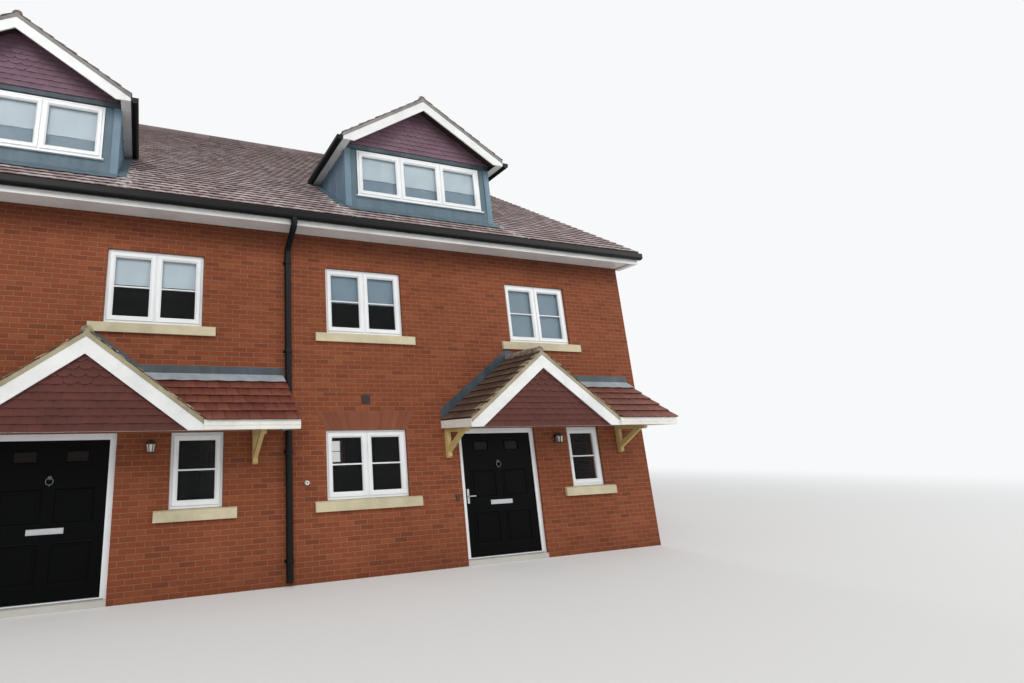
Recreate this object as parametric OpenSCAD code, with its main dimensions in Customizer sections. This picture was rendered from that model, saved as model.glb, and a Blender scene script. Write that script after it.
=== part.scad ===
// Two houses of a brick terrace, in millimetres. X runs along the row, Y to the back, Z up.
// The origin is on the ground, on the line between the houses, half way from front to back.
// Places along a house are measured to the left from its right-hand boundary line.

/* [Row] */
// Width of one house, boundary to boundary
house_w = 7060; // [6950:10:7200]
// Number of houses
houses = 2; // [2]
// Depth from the front wall face to the rear wall face
house_d = 12600; // [12200:50:13000]
// Thickness of an outer wall
wall_t = 300; // [250:10:350]
// Thickness of a party wall
party_t = 300; // [220:10:360]

/* [Storeys] */
// Ground floor level above the ground, one brick course
ground_level = 75; // [60:5:90]
// Thickness of an upper floor with its joists
floor_t = 250; // [200:10:300]
// First floor level
first_level = 2725; // [2650:5:2800]
// Attic floor level
attic_level = 5375; // [5300:5:5400]

/* [Main roof] */
// Rise of the main roof for each unit of run
roof_tan = 0.785; // [0.76:0.005:0.81]
// Height of the tile surface straight over the wall face
roof_foot_z = 6015; // [5995:5:6035]
// Thickness of rafters, battens and tiles together, measured upright
roof_t = 240; // [200:5:280]
// Thickness of the tile layer, measured upright
tile_t = 60; // [45:5:75]
// From the wall face to the outer face of the fascia
eaves_out = 430; // [400:5:450]
// How far the tiles reach past the fascia into the gutter
tile_drip = 50; // [30:5:60]
// How far the roof reaches past the gable wall
verge_out = 110; // [90:5:130]
// How far the verge tiles reach past the barge board
verge_drip = 10; // [5:1:20]
// From that tile surface down to the soffit underside
soffit_drop = 580; // [570:5:590]
// Thickness of a soffit board
soffit_t = 12; // [9:1:18]
// Thickness of a fascia or barge board
board_t = 22; // [18:1:28]
// How far a fascia hangs below the soffit
fascia_lip = 40; // [20:1:50]
// Depth of the verge barge board, measured upright
verge_board_h = 210; // [180:5:240]
// Outer radius of a main gutter
gutter_r = 56; // [50:1:62]
// Wall of a gutter
gutter_wall = 4; // [3:0.5:6]
// Outer radius of a downpipe
pipe_r = 36; // [30:1:40]
// Distance of a downpipe centre from the boundary line
pipe_from_line = 140; // [130:1:145]
// Gap between a downpipe and the brick
pipe_gap = 18; // [12:1:30]
// Outer radius of a ridge tile
ridge_r = 125; // [110:5:140]
// Thickness of a ridge tile
ridge_tile_t = 16; // [12:1:20]

/* [Doors] */
// From the boundary line to the right jamb of the door opening
door_x = 2580; // [2540:5:2620]
// Width of the door opening in the brick
door_w = 1600; // [1540:5:1640]
// Height of the door opening above the floor
door_h = 2100; // [2050:5:2150]
// Face width of the door frame
door_frame_w = 70; // [60:1:80]
// From the front of the door frame back to the face of the leaf
leaf_set = 20; // [16:1:26]
// Height of the threshold
threshold_h = 28; // [20:1:35]
// Thickness of the door leaf
leaf_t = 45; // [40:1:50]
// Running gap round the door leaf
leaf_gap = 7; // [6:0.5:9]
// Reach of the stop over the leaf edge
stop_w = 14; // [11:1:18]
// Radius of a hinge knuckle
hinge_r = 6; // [5:0.5:7]
// Height of a hinge
hinge_h = 100; // [80:5:110]
// Gap between the knuckles of a hinge
hinge_gap = 0.3; // [0.2:0.1:0.5]
// From the foot or head of the leaf to a hinge
hinge_in = 180; // [150:5:220]
// Height of the lever handle above the floor
handle_h = 990; // [950:5:1050]
// Height of the letter plate above the floor
letter_h = 870; // [800:5:920]
// Width of the letter plate
letter_w = 440; // [360:5:480]
// Height of the two small lights in the door
door_light_h = 330; // [280:5:360]
// Width of each small light in the door
door_light_w = 275; // [230:5:300]
// From the head of the leaf to its small lights
door_light_in = 150; // [120:5:180]

/* [Windows] */
// Depth of a window frame
frame_d = 70; // [60:1:80]
// Face width of a window frame with its sash
frame_w = 88; // [75:1:95]
// Width of the bar between two lights
mullion_w = 120; // [100:1:135]
// How far frames stand back from the brick face
reveal = 50; // [40:1:70]
// Thickness of the glass unit
glass_t = 24; // [18:1:28]
// Width of the two-light windows
window_w = 1410; // [1370:5:1430]
// Width of the narrow window beside the door
narrow_w = 750; // [710:5:790]
// Height of a ground floor window
ground_win_h = 1050; // [1000:5:1075]
// Bottom of the ground floor windows above the ground
ground_win_z = 1125; // [1110:5:1150]
// Height of a first floor window
first_win_h = 1130; // [1080:5:1150]
// Bottom of the first floor windows above the ground
first_win_z = 3750; // [3700:5:3800]
// From the boundary line to the right edge of the narrow window
narrow_x = 1105; // [1060:5:1140]
// From the left boundary line to the wide ground window
wide_in = 485; // [460:5:510]
// From the boundary line to the right edge of the right first floor window
first_right_x = 1475; // [1440:5:1510]
// From the left boundary line to the left first floor window
first_in = 540; // [510:5:570]
// Height of a stone sill
sill_h = 150; // [140:2:160]
// How far a stone sill stands out of the brick
sill_out = 45; // [35:1:60]
// How far a stone sill runs past each side of its window
sill_ear = 200; // [170:5:210]
// Fall of a stone sill from its frame to its front edge
sill_fall = 14; // [8:1:20]

/* [Dormers] */
// From the boundary line to the middle of the dormer
dormer_x = 4440; // [4390:5:4490]
// Width of the dormer over its cheeks
dormer_w = 3150; // [3100:10:3200]
// From the front wall face back to the dormer face
dormer_back = 170; // [155:5:220]
// Thickness of the dormer walls
dormer_wall_t = 150; // [120:5:170]
// Width of the dormer window
dormer_win_w = 2680; // [2620:10:2720]
// Bottom of the dormer window above the roof foot
dormer_win_rise = 395; // [380:5:415]
// Height of the dormer window
dormer_win_h = 928; // [900:4:948]
// Top of the dormer walls above the roof foot
dormer_rise = 1415; // [1390:5:1440]
// Rise of the dormer roof for each unit of run
dormer_tan = 0.62; // [0.59:0.005:0.65]
// How far the dormer roof reaches past the cheeks
dormer_eaves_out = 150; // [120:5:180]
// How far the dormer roof reaches in front of the dormer face
dormer_verge_out = 300; // [260:5:340]
// Thickness of the dormer and porch roof slabs, measured upright
small_roof_t = 110; // [90:5:130]
// Depth of the dormer barge board, measured upright
dormer_board_h = 235; // [210:5:260]
// Outer radius of a dormer gutter
small_gutter_r = 42; // [36:1:48]

/* [Porches] */
// How far the porch barge board stands out from the wall
porch_out = 850; // [820:5:900]
// From the boundary line to the middle of the porch gable
porch_x = 2990; // [2950:5:3030]
// Half the span of the porch gable roof
porch_half = 1500; // [1460:5:1540]
// Height of the porch tile surface at its ridge
porch_ridge_z = 3430; // [3410:5:3450]
// Height of the porch tile surface at the foot of its gable slopes
porch_eaves_z = 2320; // [2300:5:2340]
// From the boundary line to the end of the lean-to roof
lean_end_x = 195; // [190:1:220]
// Height of the lean-to tile surface at the wall
lean_top_z = 2990; // [2950:5:3020]
// Height of the lean-to tile surface over its fascia
lean_foot_z = 2360; // [2350:1:2380]
// Bottom of the porch fascia and of the hung tiles
porch_fascia_z = 2180; // [2178:1:2188]
// Underside of the porch soffit
porch_soffit_z = 2194; // [2190:1:2200]
// Depth of the porch barge board, measured upright
porch_board_h = 265; // [240:5:290]
// Width of a bracket timber
bracket_w = 75; // [65:1:90]
// Bottom of the bracket post above the ground
bracket_z = 1700; // [1650:5:1750]
// Reach of the bracket beam from the wall
bracket_reach = 640; // [600:5:680]
// From the boundary line to the middle of the left bracket
bracket_left_x = 4410; // [4380:1:4420]
// From the boundary line to the middle of the right bracket
bracket_right_x = 650; // [600:5:700]
// Thickness of the tile hanging on its battens
hung_t = 45; // [35:1:55]
// Thickness of a lead flashing
lead_t = 4; // [3:0.5:6]
// Height that a flashing stands up the brick
lead_h = 150; // [120:5:180]
// Gap left under a piece that is scribed to a slope
seat_gap = 0.3; // [0.2:0.1:0.6]

/* [Fittings] */
// From the door opening to the middle of the lantern
lantern_in = 450; // [420:5:480]
// Height of the middle of the lantern
lantern_z = 1975; // [1900:5:2000]
// Height of the middle of the extract cover
vent_z = 2664; // [2600:2:2700]
// Place of the bell push, as a share of the way from the doorway to the end of the wide window's sill
bell_share = 0.14; // [0.12:0.01:0.2]
// Height of the middle of the bell push
bell_z = 1050; // [1000:5:1100]
// From the left boundary line to the overflow stub
overflow_in = 150; // [120:5:180]
// Height of the overflow stub
overflow_z = 1405; // [1350:5:1450]

/* [Hidden] */
row_w = house_w * houses;
x_left = -row_w / 2;
x_right = row_w / 2;
y_front = -house_d / 2;
y_back = house_d / 2;
y_in = y_front + wall_t;
ridge_z = roof_foot_z + roof_tan * house_d / 2;
porch_tan = (porch_ridge_z - porch_eaves_z) / porch_half;
soffit_z = roof_foot_z - soffit_drop;
door_top = ground_level + door_h;
wide_x = house_w - wide_in - window_w;
first_left_x = house_w - first_in - window_w;
y_fascia = y_front - eaves_out;
y_tile = y_fascia - tile_drip;
y_dormer = y_front + dormer_back;
y_porch = y_front - porch_out;
dormer_in_y = y_dormer + dormer_wall_t;
dormer_win_z = roof_foot_z + dormer_win_rise;
dormer_plate_z = roof_foot_z + dormer_rise;
dormer_plate_y = -(ridge_z - dormer_plate_z) / roof_tan;
sill_bed = reveal + frame_d;
bite = 1;
dormer_half = dormer_w / 2;
dormer_eave = dormer_half + dormer_eaves_out;
dormer_ridge_z = dormer_plate_z + small_roof_t + dormer_tan * dormer_half;
dormer_soffit_z = dormer_plate_z - dormer_tan * dormer_eaves_out - soffit_t - 5;
dormer_ridge_end = -(ridge_z - dormer_ridge_z - ridge_r) / roof_tan;
door_frame_d = leaf_set + leaf_t;
leaf_y = y_front + reveal + leaf_set;
hinge_off = hinge_r + 1;
hinge_step = hinge_h / 3;
leaf_w = door_w - 2 * door_frame_w - 2 * leaf_gap;
leaf_z = ground_level + threshold_h + leaf_gap;
leaf_h = door_top - door_frame_w - leaf_gap - leaf_z;
lean_tan = (lean_top_z - lean_foot_z) / porch_out;
big = 20000;
brick_red = [0.67, 0.32, 0.2];
tile_red = [0.5, 0.27, 0.21];
hung_red = [0.4, 0.17, 0.15];
board_white = [0.93, 0.93, 0.92];
lead_grey = [0.42, 0.49, 0.54];
pipe_black = [0.06, 0.06, 0.07];
stone_buff = [0.82, 0.76, 0.6];
timber_buff = [0.8, 0.73, 0.45];
glass_tint = [0.6, 0.7, 0.75, 0.5];
plaster = [0.85, 0.84, 0.8];
$fn = 48;

// Right-hand boundary line of house i, counted from the left
function line_x(i) = x_left + (i + 1) * house_w;

// Height of the main roof tile surface at a distance from the ridge line
function roof_top(y) = ridge_z - roof_tan * abs(y);

// Height of the underside of the main roof
function roof_under(y) = roof_top(y) - roof_t;

// An upright outline in Y and Z carried along X
module along_x(x0, x1, outline) {
  translate([x0, 0, 0]) rotate([90, 0, 90]) linear_extrude(x1 - x0) polygon(outline);
}

// An upright outline in X and Z carried along Y
module along_y(y0, y1, outline) {
  translate([0, y1, 0]) rotate([90, 0, 0]) linear_extrude(y1 - y0) polygon(outline);
}

// A box between two corners
module box(lo, hi) {
  translate(lo) cube([hi[0] - lo[0], hi[1] - lo[1], hi[2] - lo[2]]);
}

// A round rod between two points
module rod(a, b, r) {
  d = b - a;
  run = sqrt(d[0] * d[0] + d[1] * d[1]);
  translate(a) rotate([0, atan2(run, d[2]), atan2(d[1], d[0])]) cylinder(h = norm(d), r = r);
}

// Repeats its children once for each house, at the house's right boundary line
module each_house() {
  for (i = [0 : houses - 1]) translate([line_x(i), 0, 0]) children();
}

// Turns its children half round, from the front of the row to the back
module to_back() {
  mirror([0, 1, 0]) children();
}

// The front wall's section, which rises inwards under the rafters
function wall_section(z0, z1) = [
  [y_front, z0], [y_in, z0],
  [y_in, min(z1, roof_under(y_in))], [y_front, min(z1, roof_under(y_front))]
];

// A hole for a window with the bed of its sill, cut through the front wall
module window_hole(x, w, z, h) {
  box([-x - w, y_front - 1, z], [-x, y_in + 1, z + h]);
  box([-x - w - sill_ear, y_front - 1, z - sill_h], [-x + sill_ear, y_front + sill_bed, z]);
}

// All the window holes of one house front
module front_holes() {
  window_hole(wide_x, window_w, ground_win_z, ground_win_h);
  window_hole(narrow_x, narrow_w, ground_win_z, ground_win_h);
  window_hole(first_left_x, window_w, first_win_z, first_win_h);
  window_hole(first_right_x, window_w, first_win_z, first_win_h);
}

// The window holes of one house back, which repeat the front's
module back_holes() {
  window_hole(wide_x, window_w, ground_win_z, ground_win_h);
  window_hole(first_right_x, window_w, ground_win_z, ground_win_h);
  window_hole(first_left_x, window_w, first_win_z, first_win_h);
  window_hole(first_right_x, window_w, first_win_z, first_win_h);
}

// A length of front wall from x0 to x1 and z0 to z1 with its window holes
module front_wall(x0, x1, z0, z1) {
  difference() {
    along_x(x0, x1, wall_section(z0, z1));
    each_house() front_holes();
  }
}

module ground_slabs() {
  color(plaster) for (i = [0 : houses - 1]) {
    room_plate(i, 0, ground_level);
    translate([line_x(i), 0, 0])
      box([-door_x - door_w, y_front, 0], [-door_x, y_in, ground_level]);
  }
}

// A floor plate of house i between its walls, from z0 to z1
module room_plate(i, z0, z1) {
  x0 = i == 0 ? x_left + wall_t : line_x(i - 1) + party_t / 2;
  x1 = i == houses - 1 ? x_right - wall_t : line_x(i) - party_t / 2;
  box([x0, y_in, z0], [x1, -y_in, z1]);
}

module first_floors() {
  color(plaster) for (i = [0 : houses - 1]) room_plate(i, first_level - floor_t, first_level);
}

module attic_floors() {
  color(plaster) for (i = [0 : houses - 1]) room_plate(i, attic_level - floor_t, attic_level);
}

module front_wall_left() {
  color(brick_red) front_wall(x_left, line_x(0) - door_x - door_w, 0, door_top);
}

module front_wall_middle() {
  color(brick_red) front_wall(line_x(0) - door_x, line_x(1) - door_x - door_w, 0, door_top);
}

module front_wall_right() {
  color(brick_red) front_wall(line_x(houses - 1) - door_x, x_right, 0, door_top);
}

module front_wall_upper() {
  color(brick_red) front_wall(x_left, x_right, door_top, big);
}

module rear_wall() {
  color(brick_red) to_back() difference() {
    along_x(x_left, x_right, wall_section(0, big));
    each_house() back_holes();
  }
}

// A cross wall from x0 to x1 that fills the space up to the rafters
module cross_wall(x0, x1) {
  along_x(x0, x1, [
    [y_in, 0], [-y_in, 0], [-y_in, roof_under(y_in)], [0, roof_under(0)], [y_in, roof_under(y_in)]
  ]);
}

module gable_wall() {
  color(brick_red) cross_wall(x_right - wall_t, x_right);
}

module end_party_wall() {
  color(brick_red) cross_wall(x_left, x_left + wall_t);
}

module party_wall() {
  color(brick_red) for (i = [0 : houses - 2])
    cross_wall(line_x(i) - party_t / 2, line_x(i) + party_t / 2);
}

// Rafters and tiles of one slope, upright behind the fascia, and level over the soffit where they reach it
module slope_solid() {
  rafter_y = y_fascia + board_t;
  seat_z = soffit_z + soffit_t;
  seat_y = -(ridge_z - roof_t - seat_z) / roof_tan;
  level_foot = [[rafter_y, seat_z], [seat_y, seat_z]];
  foot = seat_y > rafter_y + 1 ? level_foot : [[rafter_y, roof_under(rafter_y)]];
  along_x(x_left, x_right + verge_out, concat(
    [[rafter_y, roof_top(rafter_y) - tile_t + bite]], foot,
    [[0, roof_under(0)], [0, roof_top(0) - tile_t + bite]]
  ));
  along_x(x_left, x_right + verge_out + board_t + verge_drip, [
    [y_tile, roof_top(y_tile)], [y_tile, roof_top(y_tile) - tile_t],
    [0, roof_top(0) - tile_t], [0, roof_top(0)]
  ]);
}

// The front slope between two distances from the middle of the house
module slope_strip(y0, y1) {
  intersection() {
    slope_solid();
    box([-big, y0, 0], [big, y1, big]);
  }
}

module front_roof_eaves() {
  color(tile_red) slope_strip(-big, dormer_in_y);
}

module front_roof_middle() {
  half = dormer_half - dormer_wall_t;
  color(tile_red) difference() {
    slope_strip(dormer_in_y, dormer_plate_y);
    each_dormer() box([-half, -big, 0], [half, big, big]);
  }
}

module front_roof_top() {
  color(tile_red) slope_strip(dormer_plate_y, 0);
}

module rear_roof_slope() {
  color(tile_red) to_back() slope_solid();
}

// A ridge tile's section: an arch over the point where two slopes meet
module ridge_arch(r, fall) {
  difference() {
    circle(r = r);
    circle(r = r - ridge_tile_t);
    polygon([[0, 0], [2 * r, -2 * r * fall], [2 * r, -3 * r], [-2 * r, -3 * r], [-2 * r, -2 * r * fall]]);
  }
}

// Everything under the main roof's tile surface, for cutting what lands on the slope
module under_main_roof() {
  along_x(x_left - big, x_right + big, [
    [-big, roof_top(big)], [0, ridge_z], [big, roof_top(big)], [big, -big], [-big, -big]
  ]);
}

module ridge_tiles() {
  color(tile_red) {
    translate([x_left, 0, ridge_z]) rotate([90, 0, 90])
      linear_extrude(row_w + verge_out + board_t + verge_drip) ridge_arch(ridge_r, roof_tan);
    each_house() {
      difference() {
        translate([-dormer_x, dormer_ridge_end, dormer_ridge_z]) rotate([90, 0, 0])
          linear_extrude(dormer_ridge_end - y_dormer + dormer_verge_out)
            ridge_arch(ridge_r * 0.8, dormer_tan);
        under_main_roof();
      }
      translate([-porch_x, y_front - lead_t, porch_ridge_z]) rotate([90, 0, 0])
        linear_extrude(porch_out - lead_t) ridge_arch(ridge_r * 0.8, porch_tan);
    }
  }
}

// Barge boards on the gable wall's verge, front and back
module verge_boards() {
  x0 = x_right + verge_out;
  outline = [
    [y_fascia + board_t, roof_top(y_fascia + board_t) - tile_t], [0, roof_top(0) - tile_t],
    [0, roof_top(0) - tile_t - verge_board_h],
    [y_fascia + board_t, roof_top(y_fascia + board_t) - tile_t - verge_board_h]
  ];
  color(board_white) {
    along_x(x0, x0 + board_t, outline);
    to_back() along_x(x0, x0 + board_t, outline);
  }
}

// Eaves boards with the box end under the verge
module eaves_board() {
  top_z = roof_top(y_fascia + board_t) - tile_t - seat_gap;
  low_z = roof_top(y_fascia) - tile_t - seat_gap;
  x1 = x_right + verge_out + board_t;
  along_x(x_left, x1, [
    [y_fascia, soffit_z - fascia_lip], [y_fascia + board_t, soffit_z - fascia_lip],
    [y_fascia + board_t, top_z], [y_fascia, low_z]
  ]);
  box([x_right, y_fascia + board_t, soffit_z - fascia_lip], [x1 - board_t, y_front, soffit_z]);
}

module fascias() {
  color(board_white) {
    eaves_board();
    to_back() eaves_board();
    each_house() translate([-dormer_x, 0, 0]) {
      dormer_side_board();
      mirror([1, 0, 0]) dormer_side_board();
    }
  }
}

module soffits() {
  color(board_white) {
    soffit_plate();
    to_back() soffit_plate();
    each_house() translate([-dormer_x, 0, 0]) {
      dormer_side_soffit();
      mirror([1, 0, 0]) dormer_side_soffit();
    }
  }
}

// The level board between the fascia and the brick
module soffit_plate() {
  box([x_left, y_fascia + board_t, soffit_z], [x_right + verge_out, y_front, soffit_z + soffit_t]);
}

// A half-round gutter's section, open at the top
module gutter_arc(r) {
  difference() {
    circle(r = r);
    circle(r = r - gutter_wall);
    translate([-2 * r, 0]) square([4 * r, 2 * r]);
  }
}

// A main gutter with its stop ends
module main_gutter() {
  yc = y_fascia - gutter_r;
  zc = roof_top(y_tile) - tile_t - 5;
  x1 = x_right + verge_out + board_t + verge_drip;
  translate([x_left, yc, zc]) rotate([90, 0, 90]) linear_extrude(x1 - x_left) gutter_arc(gutter_r);
  for (x = [x_left, x1 - gutter_wall]) translate([x, yc, zc]) rotate([90, 0, 90])
    linear_extrude(gutter_wall) difference() {
      circle(r = gutter_r - gutter_wall);
      translate([-gutter_r, 0]) square(2 * gutter_r);
    }
}

module gutters() {
  color(pipe_black) {
    main_gutter();
    to_back() main_gutter();
    each_house() translate([-dormer_x, 0, 0]) {
      dormer_gutter();
      mirror([1, 0, 0]) dormer_gutter();
    }
  }
}

// A downpipe from the gutter outlet, back to the brick and down to the ground
module downpipe() {
  yc = y_fascia - gutter_r;
  zc = roof_top(y_tile) - tile_t - 5 - gutter_r;
  wall_y = y_front - pipe_gap - pipe_r;
  x = -pipe_from_line;
  fall = 0.62;
  // The neck passes 10 mm under the fascia's lip
  neck_z = soffit_z - fascia_lip - 10 - pipe_r * sqrt(1 + fall * fall) + gutter_r * fall;
  top = [x, yc, neck_z];
  elbow = [x, wall_y, neck_z - (wall_y - yc) * fall];
  rod([x, yc, zc], top, pipe_r);
  translate(top) sphere(r = pipe_r + 6);
  rod(top, elbow, pipe_r);
  translate(elbow) sphere(r = pipe_r + 6);
  rod(elbow, [x, wall_y, 60], pipe_r);
  for (z = [0.06, 0.36, 0.66, 0.95]) translate([x, wall_y, elbow[2] * z]) {
    cylinder(h = 60, r = pipe_r + 7);
    box([-22, 0, 12], [22, pipe_r + pipe_gap, 48]);
  }
}

module downpipes() {
  color(pipe_black) {
    translate([line_x(0), 0, 0]) downpipe();
    to_back() translate([line_x(0), 0, 0]) downpipe();
  }
}

// Height of a dormer's tile surface at a distance from its middle
function dormer_top(x) = dormer_ridge_z - dormer_tan * abs(x);

// One slope of a small gable roof, from the ridge out to the eave, with its tiles over the eave board
function small_slope(half, top, fall) = [
  [0, top], [half, top - fall * half], [half, top - fall * half - tile_t],
  [half - board_t, top - fall * (half - board_t) - tile_t],
  [half - board_t, top - fall * (half - board_t) - small_roof_t], [0, top - small_roof_t]
];

// The upright board under the tiles of a small roof's eave, down to z0
function side_board(half, top, fall, z0) = [
  [half - board_t, z0], [half, z0], [half, top - fall * half - tile_t],
  [half - board_t, top - fall * (half - board_t) - tile_t]
];

// The pair of raking boards in front of a small gable, cut level at their feet
module gable_boards(y0, half, top, fall, depth, foot_z) {
  heel = (top - depth - foot_z) / fall;
  along_y(y0 - board_t, y0, [
    [-half, top - fall * half], [0, top], [half, top - fall * half],
    [half, foot_z], [heel, foot_z], [0, top - depth], [-heel, foot_z], [-half, foot_z]
  ]);
}

// Repeats its children for each dormer, at the dormer's middle line
module each_dormer() {
  each_house() translate([-dormer_x, 0, 0]) children();
}

// Draws its children and their likeness on the other side of a middle line
module both_sides() {
  children();
  mirror([1, 0, 0]) children();
}

// The dormer face: an apron, two jambs and a head, seated on the slope
module dormer_fronts() {
  y1 = dormer_in_y;
  color(lead_grey) each_dormer() difference() {
    along_x(-dormer_half, dormer_half, [
      [y_dormer, roof_top(y_dormer) + seat_gap], [y1, roof_top(y1) + seat_gap],
      [y1, dormer_plate_z], [y_dormer, dormer_plate_z]
    ]);
    box([-dormer_win_w / 2, y_dormer - 1, dormer_win_z],
        [dormer_win_w / 2, y1 + 1, dormer_win_z + dormer_win_h]);
  }
}

module dormer_cheeks() {
  y1 = dormer_in_y;
  y2 = dormer_plate_y - seat_gap / roof_tan;
  color(lead_grey) each_dormer() both_sides()
    along_x(dormer_half - dormer_wall_t, dormer_half, [
      [y1, roof_top(y1) + seat_gap], [y2, dormer_plate_z], [y1, dormer_plate_z]
    ]);
}

// The triangle over the dormer window, hung with tiles
module dormer_gables() {
  color(hung_red) each_dormer()
    along_y(y_dormer - hung_t, y_dormer + dormer_wall_t / 2, [
      [-dormer_half, dormer_plate_z], [dormer_half, dormer_plate_z],
      [0, dormer_ridge_z - small_roof_t]
    ]);
}

module dormer_roof_slopes() {
  color(tile_red) each_dormer() both_sides() difference() {
    along_y(y_dormer - dormer_verge_out, 0, small_slope(dormer_eave, dormer_ridge_z, dormer_tan));
    under_main_roof();
  }
}

module dormer_barge_boards() {
  color(board_white) each_dormer()
    gable_boards(y_dormer - dormer_verge_out, dormer_eave, dormer_ridge_z - tile_t / 2,
      dormer_tan, dormer_board_h, dormer_soffit_z);
}

// The fascia along one dormer eave, cut off by the main roof
module dormer_side_board() {
  difference() {
    along_y(y_dormer - dormer_verge_out, 0,
      side_board(dormer_eave, dormer_ridge_z, dormer_tan, dormer_soffit_z));
    under_main_roof();
  }
}

// The level board under one dormer eave
module dormer_side_soffit() {
  difference() {
    box([dormer_half, y_dormer - dormer_verge_out, dormer_soffit_z],
        [dormer_eave - board_t, 0, dormer_soffit_z + soffit_t]);
    under_main_roof();
  }
}

// The gutter along one dormer eave
module dormer_gutter() {
  difference() {
    translate([dormer_eave + small_gutter_r, 0, dormer_top(dormer_eave) - tile_t - 4])
      rotate([90, 0, 0]) linear_extrude(dormer_verge_out + board_t - y_dormer)
        gutter_arc(small_gutter_r);
    under_main_roof();
  }
}

// Height of the porch gable's tile surface at a distance from its middle
function porch_top(x) = porch_ridge_z - porch_tan * abs(x);

// Height of the lean-to's tile surface at a place in front of the wall
function lean_top(y) = lean_top_z - lean_tan * (y_front - y);

// Everything under the lean-to's tile surface, lowered by a drop
module under_lean_to(drop = 0) {
  along_x(-big, big, [
    [y_front + big, lean_top(y_front + big) - drop], [y_front - big, lean_top(y_front - big) - drop],
    [y_front - big, -big], [y_front + big, -big]
  ]);
}

// Everything under the porch gable's tile surface, lowered by a drop
module under_porch_gable(drop = 0) {
  translate([-porch_x, 0, 0]) along_y(-big, big, [
    [-big, porch_top(big) - drop], [0, porch_top(0) - drop], [big, porch_top(big) - drop],
    [big, -big], [-big, -big]
  ]);
}

// Cuts its children off at the underside of the porch roofs
module under_porch() {
  intersection() {
    children();
    union() {
      intersection() {
        under_lean_to(small_roof_t + seat_gap);
        box([-porch_x, -big, -big], [big, big, big]);
      }
      under_porch_gable(small_roof_t + seat_gap);
    }
  }
}

// One slope of the porch gable, from its ridge to its eave
module porch_slope() {
  along_y(y_porch, y_front, small_slope(porch_half, porch_ridge_z, porch_tan));
}

module porch_gable_slopes() {
  color(tile_red) each_house() {
    translate([-porch_x, 0, 0]) mirror([1, 0, 0]) porch_slope();
    difference() {
      translate([-porch_x, 0, 0]) porch_slope();
      under_lean_to();
    }
  }
}

// The lean-to beside the gable, which meets it in a valley
module porch_lean_tos() {
  y0 = y_porch - tile_drip;
  y1 = y_porch + board_t;
  color(tile_red) each_house() difference() {
    along_x(-porch_x, -lean_end_x, [
      [y_front, lean_top_z], [y0, lean_top(y0)], [y0, lean_top(y0) - tile_t],
      [y1, lean_top(y1) - tile_t], [y1, lean_top(y1) - small_roof_t],
      [y_front, lean_top_z - small_roof_t]
    ]);
    under_porch_gable();
    translate([-porch_x, 0, 0])
      box([-porch_half, y0 - 1, 0], [porch_half + 1, y_porch, porch_ridge_z]);
  }
}

// The triangle over the door, hung with tiles
module porch_gables() {
  inner = porch_half - board_t;
  under = porch_top(inner) - small_roof_t;
  y0 = y_porch + board_t;
  color(hung_red) each_house() translate([-porch_x, 0, 0]) along_y(y0, y0 + hung_t, [
    [-inner, porch_fascia_z], [inner, porch_fascia_z], [inner, under],
    [0, porch_ridge_z - small_roof_t], [-inner, under]
  ]);
}

module porch_barge_boards() {
  color(board_white) each_house() translate([-porch_x, 0, 0])
    gable_boards(y_porch, porch_half, porch_ridge_z - tile_t / 2, porch_tan,
      porch_board_h, porch_fascia_z);
}

// The board under the lean-to tiles, the return board to the wall and the board at the far end
module porch_fascias() {
  y1 = y_porch + board_t;
  color(board_white) each_house() {
    along_x(porch_half - porch_x, -lean_end_x, [
      [y_porch, porch_fascia_z], [y1, porch_fascia_z],
      [y1, lean_top(y1) - tile_t - seat_gap], [y_porch, lean_top(y_porch) - tile_t - seat_gap]
    ]);
    along_x(-lean_end_x - board_t, -lean_end_x, [
      [y1, porch_fascia_z], [y_front, porch_fascia_z],
      [y_front, lean_top_z - small_roof_t - seat_gap], [y1, lean_top(y1) - small_roof_t - seat_gap]
    ]);
    translate([-porch_x, 0, 0]) mirror([1, 0, 0]) along_y(y_porch, y_front,
      side_board(porch_half, porch_ridge_z, porch_tan, porch_fascia_z));
  }
}

module porch_soffits() {
  color(board_white) each_house() under_porch()
    box([-porch_x - porch_half + board_t, y_porch + board_t + hung_t, porch_soffit_z],
        [-lean_end_x - board_t, y_front, porch_soffit_z + soffit_t]);
}

// A timber bracket: a post on the brick, a beam and a raking strut between them
module bracket() {
  post_top = porch_soffit_z;
  y0 = y_front - bracket_reach;
  cut = bracket_w * 1.35;
  along_x(-bracket_w / 2, bracket_w / 2, [
    [y_front - bracket_w, bracket_z + 30], [y_front - bracket_w / 2, bracket_z],
    [y_front, bracket_z], [y_front, post_top], [y0, post_top],
    [y0, post_top - bracket_w * 0.6], [y0 + 30, post_top - bracket_w],
    [y_front - bracket_w, post_top - bracket_w]
  ]);
  along_x(-bracket_w * 0.4, bracket_w * 0.4, [
    [y_front - bracket_w / 2, bracket_z + 60], [y_front - bracket_w / 2, bracket_z + 60 + cut],
    [y0 + 60 + cut, post_top - bracket_w / 2], [y0 + 60, post_top - bracket_w / 2]
  ]);
}

module porch_brackets() {
  color(timber_buff) each_house() under_porch() {
    translate([-bracket_left_x, 0, 0]) bracket();
    translate([-bracket_right_x, 0, 0]) bracket();
  }
}

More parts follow.
